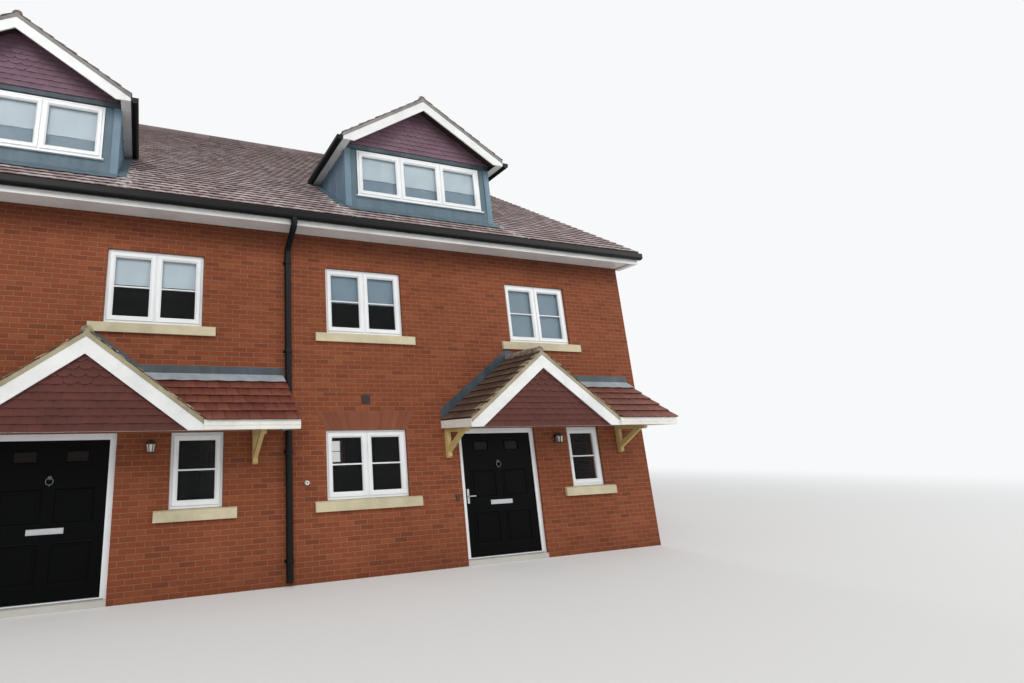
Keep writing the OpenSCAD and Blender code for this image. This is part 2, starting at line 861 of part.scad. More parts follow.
// Flashings up the brick over each porch, and an apron at each dormer's foot
module lead_flashings() {
  valley = (porch_ridge_z - lean_top_z) / porch_tan;
  rise = lead_h * sqrt(1 + porch_tan * porch_tan);
  color(lead_grey * 0.6) {
    each_house() intersection() {
      translate([-porch_x, 0, 0]) along_y(y_front - lead_t, y_front, [
        [-porch_half, porch_top(porch_half)], [0, porch_ridge_z], [valley, lean_top_z],
        [porch_x - lean_end_x, lean_top_z], [porch_x - lean_end_x, lean_top_z + lead_h],
        [valley + (rise - lead_h) / porch_tan, lean_top_z + lead_h], [0, porch_ridge_z + rise],
        [-porch_half, porch_top(porch_half) + rise]
      ]);
      box([-house_w, -big, 0], [0, 0, first_win_z - sill_h - 12]);
    }
    each_dormer() along_x(-dormer_half, dormer_half, [
      [y_dormer - lead_h, roof_top(y_dormer - lead_h) + seat_gap],
      [y_dormer, roof_top(y_dormer) + seat_gap],
      [y_dormer, roof_top(y_dormer) + seat_gap + lead_t],
      [y_dormer - lead_h, roof_top(y_dormer - lead_h) + seat_gap + lead_t]
    ]);
  }
}

// The clear width of one light of a window
function light_w(w, lights) = (w - 2 * frame_w - (lights - 1) * mullion_w) / lights;

// Repeats its children in the middle of each light of a window
module each_light(x, w, lights) {
  for (i = [0 : lights - 1])
    translate([-x - w + frame_w + (i + 0.5) * light_w(w, lights) + i * mullion_w, 0, 0]) children();
}

// A window frame set back from the face y0
module window_frame(x, w, z, h, lights, y0 = y_front) {
  difference() {
    box([-x - w, y0 + reveal, z], [-x, y0 + reveal + frame_d, z + h]);
    each_light(x, w, lights) translate([0, y0 + reveal + frame_d / 2, z + h / 2])
      cube([light_w(w, lights), frame_d + 2, h - 2 * frame_w], center = true);
  }
}

// The glass units of one window
module window_panes(x, w, z, h, lights, y0 = y_front) {
  each_light(x, w, lights) translate([0, y0 + reveal + frame_d / 2, z + h / 2])
    cube([light_w(w, lights), glass_t, h - 2 * frame_w], center = true);
}

module ground_window_frames() {
  color(board_white) each_house() {
    window_frame(wide_x, window_w, ground_win_z, ground_win_h, 2);
    window_frame(narrow_x, narrow_w, ground_win_z, ground_win_h, 1);
  }
}

module first_window_frames() {
  color(board_white) each_house() {
    window_frame(first_left_x, window_w, first_win_z, first_win_h, 2);
    window_frame(first_right_x, window_w, first_win_z, first_win_h, 2);
  }
}

module dormer_window_frames() {
  color(board_white) each_house()
    window_frame(dormer_x - dormer_win_w / 2, dormer_win_w, dormer_win_z, dormer_win_h, 3,
      y_dormer - reveal - 8);
}

module rear_window_frames() {
  color(board_white) to_back() each_house() {
    window_frame(wide_x, window_w, ground_win_z, ground_win_h, 2);
    window_frame(first_right_x, window_w, ground_win_z, ground_win_h, 2);
    window_frame(first_left_x, window_w, first_win_z, first_win_h, 2);
    window_frame(first_right_x, window_w, first_win_z, first_win_h, 2);
  }
}

module window_glass() {
  color(glass_tint) {
    each_house() {
      window_panes(wide_x, window_w, ground_win_z, ground_win_h, 2);
      window_panes(narrow_x, narrow_w, ground_win_z, ground_win_h, 1);
      window_panes(first_left_x, window_w, first_win_z, first_win_h, 2);
      window_panes(first_right_x, window_w, first_win_z, first_win_h, 2);
      window_panes(dormer_x - dormer_win_w / 2, dormer_win_w, dormer_win_z, dormer_win_h, 3,
        y_dormer - reveal - 8);
    }
    to_back() each_house() {
      window_panes(wide_x, window_w, ground_win_z, ground_win_h, 2);
      window_panes(first_right_x, window_w, ground_win_z, ground_win_h, 2);
      window_panes(first_left_x, window_w, first_win_z, first_win_h, 2);
      window_panes(first_right_x, window_w, first_win_z, first_win_h, 2);
    }
  }
}

// A stone sill under a window, with its front edge weathered
module sill(x, w, z) {
  along_x(-x - w - sill_ear, -x + sill_ear, [
    [y_front - sill_out, z - sill_h], [y_front + sill_bed, z - sill_h],
    [y_front + sill_bed, z], [y_front, z], [y_front - sill_out, z - sill_fall]
  ]);
}

module stone_sills() {
  color(stone_buff) {
    each_house() {
      sill(wide_x, window_w, ground_win_z);
      sill(narrow_x, narrow_w, ground_win_z);
      sill(first_left_x, window_w, first_win_z);
      sill(first_right_x, window_w, first_win_z);
    }
    to_back() each_house() {
      sill(wide_x, window_w, ground_win_z);
      sill(first_right_x, window_w, ground_win_z);
      sill(first_left_x, window_w, first_win_z);
      sill(first_right_x, window_w, first_win_z);
    }
  }
}

// The door frame: two jambs, a head and a threshold, with a stop in front of the leaf
module door_frame() {
  y0 = y_front + reveal;
  y_stop = leaf_y - leaf_gap;
  x0 = -door_x - door_w;
  x1 = -door_x;
  z1 = door_top;
  face = door_frame_w;
  for (side = [[x0, x0 + face], [x1 - face, x1]])
    box([side[0], y0, ground_level], [side[1], y0 + door_frame_d, z1]);
  box([x0 + face, y0, z1 - face], [x1 - face, y0 + door_frame_d, z1]);
  box([x0 + face, y0, ground_level], [x1 - face, y0 + door_frame_d, ground_level + threshold_h]);
  box([x0 + face, y0, ground_level + threshold_h], [x0 + face + stop_w, y_stop, z1 - face]);
  box([x1 - face - stop_w, y0, ground_level + threshold_h], [x1 - face, y_stop, z1 - face]);
  box([x0 + face + stop_w, y0, z1 - face - stop_w], [x1 - face - stop_w, y_stop, z1 - face]);
}

module door_frames() {
  color(board_white) each_house() door_frame();
}

// Repeats its children at the foot of each hinge of a door, on its axis
module each_hinge() {
  for (z = [hinge_in, leaf_h / 2 - hinge_h / 2, leaf_h - hinge_in - hinge_h])
    translate([leaf_w / 2 + leaf_gap / 2, leaf_t + hinge_off, z]) children();
}

// One knuckle of a hinge with its plate on the inner face, to one side of the axis
module knuckle(z, h, side) {
  translate([0, 0, z]) cylinder(h = h, r = hinge_r);
  box([min(0, side * 30), -hinge_off, z], [max(0, side * 30), -hinge_off + 2.5, z + h]);
}

// The two knuckles of each hinge that the door frame carries
module door_hinges() {
  color("silver") for (i = [0 : houses - 1]) at_door(i) each_hinge() {
    knuckle(0, hinge_step, 1);
    knuckle(2 * hinge_step, hinge_step, 1);
  }
}

// Repeats its children at the two small lights of a door, from their middle
module each_door_light() {
  for (side = [-1, 1])
    translate([side * leaf_w * 0.22, leaf_t / 2, leaf_h - door_light_in - door_light_h / 2]) children();
}

// Carries its children to the foot of the outer face of a closed door, at its middle
module at_door(i) {
  translate([line_x(i) - door_x - door_w / 2, leaf_y, leaf_z]) children();
}

// A door leaf with two small lights over four sunk panels
module door_leaf() {
  panel_w = leaf_w * 0.33;
  sunk = 8;
  difference() {
    box([-leaf_w / 2, 0, 0], [leaf_w / 2, leaf_t, leaf_h]);
    each_door_light() cube([door_light_w, leaf_t + 2, door_light_h], center = true);
    for (side = [-1, 1]) for (row = [[200, 480], [930, 420]])
      translate([side * leaf_w * 0.22 - panel_w / 2, -1, row[0]]) cube([panel_w, sunk + 1, row[1]]);
  }
  for (side = [-1, 1]) for (row = [[200, 480], [930, 420]])
    translate([side * leaf_w * 0.22 - panel_w / 2 + 40, 2, row[0] + 40])
      cube([panel_w - 80, sunk, row[1] - 80]);
}

// The glass of a door's two small lights
module door_lights() {
  each_door_light() cube([door_light_w, glass_t, door_light_h], center = true);
}

// Lever handle on its plate, cylinder, letter plate and the leaf's hinge knuckles
module door_furniture() {
  x = -leaf_w / 2 + 62;
  z = ground_level + handle_h - leaf_z;
  box([x - 20, -8, z - 120], [x + 20, 0, z + 110]);
  rod([x, -8, z], [x, -52, z], 10);
  rod([x, -52, z], [x + 118, -52, z], 9);
  translate([x, -52, z]) sphere(r = 10);
  rod([x, -14, z - 80], [x, -8, z - 80], 11);
  box([-letter_w / 2, -7, ground_level + letter_h - leaf_z - 35],
      [letter_w / 2, 0, ground_level + letter_h - leaf_z + 35]);
  box([-letter_w / 2 + 25, -12, ground_level + letter_h - leaf_z - 20],
      [letter_w / 2 - 25, -7, ground_level + letter_h - leaf_z + 20]);
  each_hinge() knuckle(hinge_step + hinge_gap, hinge_step - 2 * hinge_gap, -1);
}

module left_door() {
  color(pipe_black) at_door(0) door_leaf();
}

module left_door_lights() {
  color(glass_tint) at_door(0) door_lights();
}

module left_door_furniture() {
  color("silver") at_door(0) door_furniture();
}

module right_door() {
  color(pipe_black) at_door(1) door_leaf();
}

module right_door_lights() {
  color(glass_tint) at_door(1) door_lights();
}

module right_door_furniture() {
  color("silver") at_door(1) door_furniture();
}

// A wall lantern between the door and the narrow window
module lantern() {
  translate([lantern_in - door_x, y_front, lantern_z]) {
    box([-35, -14, -70], [35, 0, 70]);
    rod([0, -14, 30], [0, -95, 60], 9);
    translate([0, -105, -70]) cylinder(h = 125, r1 = 42, r2 = 62, $fn = 6);
    translate([0, -105, 55]) cylinder(h = 50, r1 = 74, r2 = 20, $fn = 6);
    translate([0, -105, -84]) cylinder(h = 14, r = 34, $fn = 6);
  }
}

module wall_lanterns() {
  color(pipe_black) each_house() lantern();
}

// The extract cover, the bell push and the overflow stub of one house
module fittings() {
  bell_x = -door_x - door_w - bell_share * (wide_x - sill_ear - door_x - door_w);
  translate([-wide_x - window_w / 2, y_front, vent_z]) {
    box([-75, -12, -75], [75, 0, 75]);
    for (i = [0 : 4]) box([-62, -22, i * 26 - 62], [62, -12, i * 26 - 50]);
  }
  box([bell_x - 25, y_front - 16, bell_z - 40], [bell_x + 25, y_front, bell_z + 40]);
  rod([overflow_in - house_w, y_front - 55, overflow_z], [overflow_in - house_w, y_front, overflow_z], 11);
}

module wall_fittings() {
  color([0.25, 0.16, 0.12]) each_house() fittings();
}

ground_slabs();
first_floors();
attic_floors();
front_wall_left();
front_wall_middle();
front_wall_right();
front_wall_upper();
rear_wall();
gable_wall();
end_party_wall();
party_wall();
front_roof_eaves();
front_roof_middle();
front_roof_top();
rear_roof_slope();
ridge_tiles();
verge_boards();
fascias();
soffits();
gutters();
downpipes();
dormer_fronts();
dormer_cheeks();
dormer_gables();
dormer_roof_slopes();
dormer_barge_boards();
dormer_window_frames();
lead_flashings();
porch_gable_slopes();
porch_lean_tos();
porch_gables();
porch_barge_boards();
porch_fascias();
porch_soffits();
porch_brackets();
ground_window_frames();
first_window_frames();
rear_window_frames();
window_glass();
stone_sills();
door_frames();
door_hinges();
left_door();
left_door_lights();
left_door_furniture();
right_door();
right_door_lights();
right_door_furniture();
wall_lanterns();
wall_fittings();
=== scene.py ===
"""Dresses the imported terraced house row: brickwork, tiles, lead, windows, doors and a plain studio stage."""

import math
from collections import namedtuple

import bmesh
import bpy
import numpy as np
from mathutils import Matrix, Vector


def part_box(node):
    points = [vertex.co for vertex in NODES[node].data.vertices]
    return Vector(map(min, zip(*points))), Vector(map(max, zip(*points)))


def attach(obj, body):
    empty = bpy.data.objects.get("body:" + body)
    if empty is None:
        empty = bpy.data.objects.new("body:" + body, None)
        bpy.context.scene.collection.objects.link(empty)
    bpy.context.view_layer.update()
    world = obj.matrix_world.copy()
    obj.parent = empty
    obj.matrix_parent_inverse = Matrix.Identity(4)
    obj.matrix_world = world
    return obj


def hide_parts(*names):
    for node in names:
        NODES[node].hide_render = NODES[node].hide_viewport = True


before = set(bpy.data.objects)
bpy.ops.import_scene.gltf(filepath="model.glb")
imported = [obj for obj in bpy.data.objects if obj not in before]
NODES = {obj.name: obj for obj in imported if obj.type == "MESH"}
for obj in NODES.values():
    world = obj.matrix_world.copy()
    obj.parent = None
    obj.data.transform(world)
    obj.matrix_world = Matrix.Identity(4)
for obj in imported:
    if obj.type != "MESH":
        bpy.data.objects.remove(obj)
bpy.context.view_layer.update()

bl_info = {
    "name": "Terraced house row",
    "version": (1, 0, 0),
    "blender": (4, 5, 0),
    "location": "View3D > Sidebar > Terrace",
    "description": "Finishes of a row of brick houses with tiled roofs, dormers and porches",
    "category": "Object",
}

HOUSE = "house"
UP = np.array([0, 0, 1.0])

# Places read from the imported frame. A line is the right-hand boundary of a house
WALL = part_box("front_wall_upper")
FRONT_Y = WALL[0][1]
LINES = (0.0, WALL[1][0])
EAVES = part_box("front_roof_eaves")
RIDGE_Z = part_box("front_roof_top")[1][2]
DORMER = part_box("dormer_fronts")
DORMER_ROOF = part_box("dormer_roof_slopes")
DORMER_HALF = (DORMER[1][0] - DORMER[0][0] - LINES[1]) / 2
DORMER_ROOF_HALF = (DORMER_ROOF[1][0] - DORMER_ROOF[0][0] - LINES[1]) / 2
DORMER_MIDDLES = [line + DORMER[0][0] + DORMER_HALF for line in LINES]
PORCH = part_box("porch_gables")
PORCH_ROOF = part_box("porch_gable_slopes")
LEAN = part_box("porch_lean_tos")
PORCH_IN = (PORCH[1][0] - PORCH[0][0] - LINES[1]) / 2
PORCH_MIDDLES = [line + PORCH[0][0] + PORCH_IN for line in LINES]
PORCH_HALF = PORCH_MIDDLES[0] - PORCH_ROOF[0][0]

# How tiles are laid, in metres: how far one runs under the next course, the narrowest sliver worth laying,
# how much tails stray, the side gaps on a roof and on a gable, and how far a small roof's tiles stand out in
# front of its verge
LAP = 0.055
SLIVER = 0.012
STRAY = 0.0025
ROOF_GAP = 0.005
HUNG_GAP = 0.0008
VERGE_OUT = 0.035
# Painted light on a tile's tone: painted shadow under its tail, a painted highlight along the top of its tail
# and painted shade at its head; and the spread of tone from tile to tile
ROOF_PAINTED_LIGHT, ROOF_SPREAD = [-0.55, 0.4, -0.32], 0.3
HUNG_PAINTED_LIGHT, HUNG_SPREAD = [-0.5, 0.08, -0.3], 0.16

# Flat arches: how far the head runs past the opening on each side, and their height in courses
ARCH_SPLAY = 0.16
ARCH_COURSES = 4

# The deep-flow gutter, in metres: half its width, the depth of its half ellipse, how far the middle of the
# ellipse lies under the rim, and how thick the wall is
GUTTER_HALF = 0.0615
GUTTER_BOWL = 0.05
GUTTER_DROP = 0.062
GUTTER_WALL = 0.004

# The colour of the sky, into which the floor fades far from the row
SKY = "#F8F9FA"

Window = namedtuple("Window", "left right foot head lights y facing")
# Places in the list that windows() gives, left and right as seen from the street
GROUND_WIDE, FIRST_LEFT, FIRST_RIGHT, DORMER_WINDOW, REAR_GROUND_LEFT, REAR_GROUND_RIGHT = 0, 2, 3, 4, 5, 6


def hex_linear(code):
    """An sRGB hex colour as linear red, green, blue and alpha."""
    parts = [int(code[i:i + 2], 16) / 255 for i in (1, 3, 5)]
    return (*[p / 12.92 if p <= 0.04045 else ((p + 0.055) / 1.055) ** 2.4 for p in parts], 1.0)


def tones(*stops):
    """Stops of a colour ramp from pairs of a place and a hex colour."""
    return [(place, hex_linear(code)) for place, code in stops]


# Roof tile tones: the clay's mixed reds, greyed by weather and drawn paler with a painted sheen of the sky
SKY_SHEEN_ROOF_TONES = tones((0.0, "#30231F"), (0.25, "#5C4B48"), (0.5, "#8A7775"), (0.75, "#AFA09E"),
                   (0.92, "#CBC1C0"), (1.0, "#E0DCDB"))
RIDGE_TONES = tones((0.0, "#6A5B5B"), (1.0, "#857576"))
LEAN_TONES = tones((0.0, "#2E1512"), (0.35, "#5C2D24"), (0.75, "#74402F"), (1.0, "#865043"))
# Porch gable tiles: browns of moss, drawn darker with painted shade
MOSSY_SHADED_TONES = tones((0.0, "#2A201A"), (0.4, "#4B392E"), (0.8, "#5F493B"), (1.0, "#75604F"))
HUNG_TONES = tones((0.0, "#3A1D1B"), (0.5, "#5A2F28"), (1.0, "#6C3D34"))
# The dormers' hung tile is drawn paler than the porches', a painted glare of the sky
SKY_GLARE_HUNG_TONES = tones((0.0, "#553E4A"), (0.5, "#795E6B"), (1.0, "#927785"))
ARCH_TONES = tones((0.0, "#753F2B"), (1.0, "#834A32"))
BLOCK_TONES = tones((0.0, "#8F8D88"), (1.0, "#A3A19B"))


def colour_prop(name, description, code):
    """A colour property with a hex default."""
    return bpy.props.FloatVectorProperty(
        name=name, description=description, default=hex_linear(code), size=4, min=0, max=1, subtype="COLOR")


def length_prop(name, description, metres):
    """A length property in metres."""
    return bpy.props.FloatProperty(name=name, description=description, default=metres, min=0, unit="LENGTH")


def slope_prop(name, description, rise):
    """A slope as its rise for a unit of run."""
    return bpy.props.FloatProperty(name=name, description=description, default=rise, min=0)


class BrickSizes(bpy.types.PropertyGroup):
    """Brickwork"""
    length: length_prop("Brick length", "A stretcher with its joint", 0.225)
    course: length_prop("Course height", "A brick on its bed joint", 0.075)
    joint: length_prop("Joint", "Width of the mortar joints", 0.010)
    red: colour_prop("Brick red", "The commonest brick", "#80432A")
    orange: colour_prop("Brick orange", "The lightest brick", "#8A4C31")
    dark: colour_prop("Brick dark", "The hardest burnt brick", "#723C29")
    mortar: colour_prop("Mortar", "Sand and cement mortar", "#8C6850")


class TileSizes(bpy.types.PropertyGroup):
    """Tiles on the roofs and hung on the gables"""
    width: length_prop("Roof tile width", "Width that shows of a roof tile", 0.165)
    gauge: length_prop("Roof gauge", "Height that shows of a course on a roof", 0.200)
    thick: length_prop("Roof tile thickness", "Thickness of a roof tile's tail", 0.017)
    hung_width: length_prop("Hung tile width", "Width of a hung tile", 0.165)
    hung_gauge: length_prop("Hung gauge", "Height that shows of a hung course", 0.095)
    hung_thick: length_prop("Hung tile thickness", "Thickness of a hung tile's tail", 0.009)
    camber: length_prop("Camber", "Rise of a tile's middle over its edges", 0.004)
    roof_tan: slope_prop("Main roof fall", "Rise of the main roof for a unit of run", 0.785)
    dormer_tan: slope_prop("Dormer fall", "Rise of a dormer roof for a unit of run", 0.62)
    porch_tan: slope_prop("Porch fall", "Rise of the porch gable for a unit of run", 0.74)
    lean_tan: slope_prop("Lean-to fall", "Rise of the porch lean-to for a unit of run", 0.63 / 0.85)


class WindowSizes(bpy.types.PropertyGroup):
    """Windows, with places measured to the left from a house's right-hand boundary line"""
    wide: length_prop("Width", "Width of a two-light window", 1.41)
    narrow: length_prop("Narrow width", "Width of the window beside the door", 0.75)
    dormer: length_prop("Dormer width", "Width of a dormer window", 2.68)
    wide_x: length_prop("Wide place", "Right edge of the wide ground window", 5.165)
    narrow_x: length_prop("Narrow place", "Right edge of the narrow window", 1.105)
    first_left_x: length_prop("First left place", "Right edge of the left first floor window", 5.11)
    first_right_x: length_prop("First right place", "Right edge of the right first floor window", 1.475)
    ground_z: length_prop("Ground sill", "Bottom of the ground floor windows", 1.125)
    ground_h: length_prop("Ground height", "Height of the ground floor windows", 1.05)
    first_z: length_prop("First sill", "Bottom of the first floor windows", 3.75)
    first_h: length_prop("First height", "Height of the first floor windows", 1.13)
    dormer_z: length_prop("Dormer sill", "Bottom of the dormer windows", 6.41)
    dormer_h: length_prop("Dormer height", "Height of the dormer windows", 0.928)
    face: length_prop("Frame face", "Face width of a frame with its sash", 0.088)
    mullion: length_prop("Mullion", "Width of the bar between two lights", 0.12)
    reveal: length_prop("Reveal", "How far a frame stands back", 0.05)
    bar: length_prop("Glazing bar", "Height of a glazing bar", 0.024)


class DoorSizes(bpy.types.PropertyGroup):
    """Front doors"""
    middle: length_prop("Middle", "Middle of the opening to the left of a boundary line", 3.38)
    wide: length_prop("Leaf width", "Width of a door leaf", 1.446)
    foot: length_prop("Leaf foot", "Bottom of a door leaf", 0.110)
    high: length_prop("Leaf height", "Height of a door leaf", 1.988)
    back: length_prop("Set back", "From the brick face to the leaf", 0.070)
    light_w: length_prop("Light width", "Width of a small light", 0.275)
    light_h: length_prop("Light height", "Height of a small light that shows", 0.14)
    light_open: length_prop("Light opening", "Height of the opening that a light and its panel fill", 0.33)


class CameraPlace(bpy.types.PropertyGroup):
    """The camera, from the row of window heads, sills and eaves in the photograph"""
    place: bpy.props.FloatVectorProperty(
        name="Place", description="Where the camera stands", size=3, subtype="TRANSLATION",
        default=(-2.26593, -14.13361, 1.97570))
    turn: bpy.props.FloatVectorProperty(
        name="Turn", description="Rotation vector from row axes to picture axes", size=3,
        default=(-0.241641, -0.322787, 0.017574))
    focal: bpy.props.FloatProperty(
        name="Focal length", description="Focal length in picture widths", default=516.289 / 1024)
    shift: bpy.props.FloatVectorProperty(
        name="Shift", description="Lens shift in picture widths", size=2, default=(0.1896, -0.0238))


# Tools for meshes

def piece(name, mesh_parts, material, slot=None, body=HOUSE, tone=None, smooth=False, replaces=(), lime=None):
    """A mesh object of these points and faces, riding on a body. Tone and lime are one value a point."""
    points, faces = mesh_parts
    mesh = bpy.data.meshes.new(name)
    mesh.from_pydata(np.asarray(points, float).tolist(), [], [list(map(int, f)) for f in faces])
    for key, values in (("tone", tone), ("lime", lime)):
        if values is not None:
            attribute = mesh.attributes.new(key, "FLOAT", "POINT")
            attribute.data.foreach_set("value", np.asarray(values, np.float32))
    shell = bmesh.new()
    shell.from_mesh(mesh)
    bmesh.ops.recalc_face_normals(shell, faces=shell.faces[:])
    shell.to_mesh(mesh)
    shell.free()
    if smooth:
        mesh.shade_smooth()
        mesh.set_sharp_from_angle(angle=math.radians(35))
    mesh.update()
    obj = bpy.data.objects.new(name, mesh)
    bpy.context.scene.collection.objects.link(obj)
    obj.data.materials.append(material)
    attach(obj, body)
    if replaces:
        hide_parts(*replaces)
    return obj


def joined(parts):
    """Several (points, faces) as one."""
    points, faces, start = [], [], 0
    for p, f in parts:
        points.append(p)
        faces.extend([tuple(int(i) + start for i in face) for face in f])
        start += len(p)
    return np.vstack(points), faces


def carried(outline, shift):
    """A flat outline carried along a straight shift and closed at both ends."""
    outline = np.asarray(outline, float)
    n = len(outline)
    k = np.arange(n)
    sides = np.stack([k, (k + 1) % n, (k + 1) % n + n, k + n], -1)
    ends = [tuple(range(n)), tuple(range(n, 2 * n))]
    return np.vstack([outline, outline + shift]), [*ends, *map(tuple, sides)]


def post(plan, foot_z, high):
    """A plan of (x, y) points carried upwards."""
    return carried([(x, y, foot_z) for x, y in plan], (0, 0, high))


def rail(section, left, length):
    """A section of (y, z) points carried along the row."""
    return carried([(left, y, z) for y, z in section], (length, 0, 0))


def box_mesh(lo, hi):
    """An upright box between two corners."""
    return post([(lo[0], lo[1]), (hi[0], lo[1]), (hi[0], hi[1]), (lo[0], hi[1])], lo[2], hi[2] - lo[2])


def grid_faces(rows, cols, close_cols=False):
    """Quads between the points of a grid, row by row."""
    r, c = np.meshgrid(np.arange(rows - 1), np.arange(cols if close_cols else cols - 1), indexing="ij")
    n = (c + 1) % cols
    return np.stack([r * cols + c, r * cols + n, (r + 1) * cols + n, (r + 1) * cols + c], -1).reshape(-1, 4)


def slab(grid, shift):
    """A surface given as a grid and its copy moved by a shift, closed round the rim."""
    rows, cols = grid.shape[:2]
    shift = np.broadcast_to(shift, grid.shape)
    points = np.vstack([grid.reshape(-1, 3), (grid + shift).reshape(-1, 3)])
    n, quads = rows * cols, grid_faces(rows, cols)
    r, c = np.arange(rows), np.arange(cols)
    right, top = r[1:] * cols + cols - 1, ((rows - 1) * cols + c)[::-1]
    rim = np.concatenate([c, right, top[1:], (r * cols)[::-1][1:-1]])
    nxt = np.roll(rim, -1)
    edge = np.stack([nxt, rim, rim + n, nxt + n], -1)
    return points, [*map(tuple, quads), *map(tuple, quads + n), *map(tuple, edge)]


def rect_ring(x0, x1, z0, z1, y, facing, profile):
    """A closed profile carried round a rectangle with mitred corners. A profile point is (inwards,
    outwards), and outwards is along Y times facing."""
    profile = np.asarray(profile, float)
    corners = [(x0, z0, 1, 1), (x1, z0, -1, 1), (x1, z1, -1, -1), (x0, z1, 1, -1)]
    grid = np.array([[[cx + sx * a, y + facing * b, cz + sz * a] for a, b in profile]
                     for cx, cz, sx, sz in corners])
    m = len(profile)
    k, j = [a.ravel() for a in np.meshgrid(np.arange(4), np.arange(m), indexing="ij")]
    k2, j2 = (k + 1) % 4, (j + 1) % m
    quads = np.stack([k * m + j, k * m + j2, k2 * m + j2, k2 * m + j], -1)
    return grid.reshape(-1, 3), list(map(tuple, quads))


def on_each(places, part):
    """The same part at each of these places along the row."""
    return joined([(part[0] + np.array([x, 0, 0]), part[1]) for x in places])


def mirrored(part):
    """A part with its reflection across its own middle at x = 0."""
    return joined([part, (part[0] * np.array([-1, 1, 1]), part[1])])


def hoop(centre, radius, tube_radius, rows=28, cols=8):
    """A round ring in an upright plane: a small circle carried round a larger one."""
    a = np.linspace(0, 2 * math.pi, rows, endpoint=False)[:, None]
    b = np.linspace(0, 2 * math.pi, cols, endpoint=False)[None]
    out = radius + tube_radius * np.cos(b)
    ring = np.broadcast_arrays(out * np.cos(a), tube_radius * np.sin(b) + 0 * a, out * np.sin(a))
    grid = np.stack(ring, -1) + np.asarray(centre)
    return grid.reshape(-1, 3), (grid_faces(rows + 1, cols, True) % (rows * cols)).tolist()


def capped_rounds(grid):
    """Circles of points, one after the other, joined by quads and closed at the first and the last."""
    rows, cols = grid.shape[:2]
    ends = [tuple(range(cols)), tuple(range((rows - 1) * cols, rows * cols))]
    return grid.reshape(-1, 3), [*grid_faces(rows, cols, True).tolist(), *ends]


def turned(centre, profile, axis="Y", cols=20):
    """A profile of (radius, distance) points turned round an axis through the centre."""
    a = np.linspace(0, 2 * math.pi, cols, endpoint=False)[None]
    r, d = np.asarray(profile, float).T[:, :, None]
    flat = np.broadcast_arrays(r * np.cos(a), d + 0 * a, r * np.sin(a))
    if axis == "Z":
        flat = flat[0], flat[2], flat[1]
    return capped_rounds(np.stack(flat, -1) + np.asarray(centre))


def rounded(a, b, c, count=6):
    """A bend from a to c round the corner b: a quadratic curve through the two mid ways."""
    t = np.linspace(0, 1, count)[:, None]
    return (1 - t) ** 2 * a + 2 * t * (1 - t) * b + t ** 2 * c


def tube(path, radius, cols=20):
    """A circle carried along a path that keeps to an upright plane along Y, square to the path's way at
    each point."""
    way = np.gradient(path, axis=0)
    way /= np.linalg.norm(way, axis=1)[:, None]
    side = np.array([1.0, 0, 0])
    other = np.cross(way, side)
    a = np.linspace(0, 2 * math.pi, cols, endpoint=False)[None, :, None]
    return capped_rounds(path[:, None] + radius * (np.cos(a) * side + np.sin(a) * other[:, None]))


# Tools for materials

def feed(tree, node, inputs):
    """Gives sockets of a node a value each, or the output that feeds them. A node stands for its first
    output."""
    for key, value in inputs.items():
        source = value.outputs[0] if isinstance(value, bpy.types.Node) else value
        if isinstance(source, bpy.types.NodeSocket):
            tree.links.new(source, node.inputs[key])
        else:
            node.inputs[key].default_value = source


def add_node(tree, kind, inputs=None, stops=(), **settings):
    """Adds one shader node with its settings and links. Stops are a colour ramp's places and colours."""
    node = tree.nodes.new("ShaderNode" + kind)
    for name, value in settings.items():
        setattr(node, name, value)
    if stops:
        while len(node.color_ramp.elements) < len(stops):
            node.color_ramp.elements.new(0.5)
        for element, (place, colour) in zip(node.color_ramp.elements, stops):
            element.position = place
            element.color = colour
    feed(tree, node, inputs or {})
    return node


def new_material(name):
    """An empty node material with its shader; returns material, tree and shader."""
    material = bpy.data.materials.new(name)
    material.use_nodes = True
    tree = material.node_tree
    return material, tree, tree.nodes["Principled BSDF"]


def dress(material, *names):
    """Gives a material to CAD nodes."""
    for name in names:
        slots = NODES[name].data.materials
        slots.clear()
        slots.append(material)


def object_axes(tree):
    """Object coordinates as a socket and as x, y and z."""
    where = add_node(tree, "TexCoord").outputs["Object"]
    return where, *add_node(tree, "SeparateXYZ", {0: where}).outputs


def shaded(tree, colour, value, low, high):
    """A colour made darker or lighter: a value from 0.3 to 1 scales it from low to high."""
    scale = add_node(tree, "MapRange", {0: value, 1: 0.3, 2: 1.0, 3: low, 4: high})
    mix = add_node(tree, "Mix", {0: 1.0, 6: colour, 7: scale}, data_type="RGBA", blend_type="MULTIPLY")
    return mix.outputs[2]


def weathered(tree, where, colour, fine, soft, low, high):
    """A colour under weather. A fine grain and wide soft patches, each given as grains a metre, detail,
    roughness and share, are added and scale it from low to high. The grain is drawn 6 or 7 mm wide, coarser
    than real sand, so that it shows. Returns the colour and the grain."""
    grain, patches = [
        add_node(tree, "TexNoise", {"Vector": where, "Scale": scale, "Detail": detail, "Roughness": rough})
        for scale, detail, rough, _ in (fine, soft)]
    weight = add_node(tree, "Math", {0: patches, 1: soft[3]}, operation="MULTIPLY")
    both = add_node(tree, "Math", {0: grain, 1: fine[3], 2: weight}, operation="MULTIPLY_ADD")
    return shaded(tree, colour, both, low, high), grain


# Materials

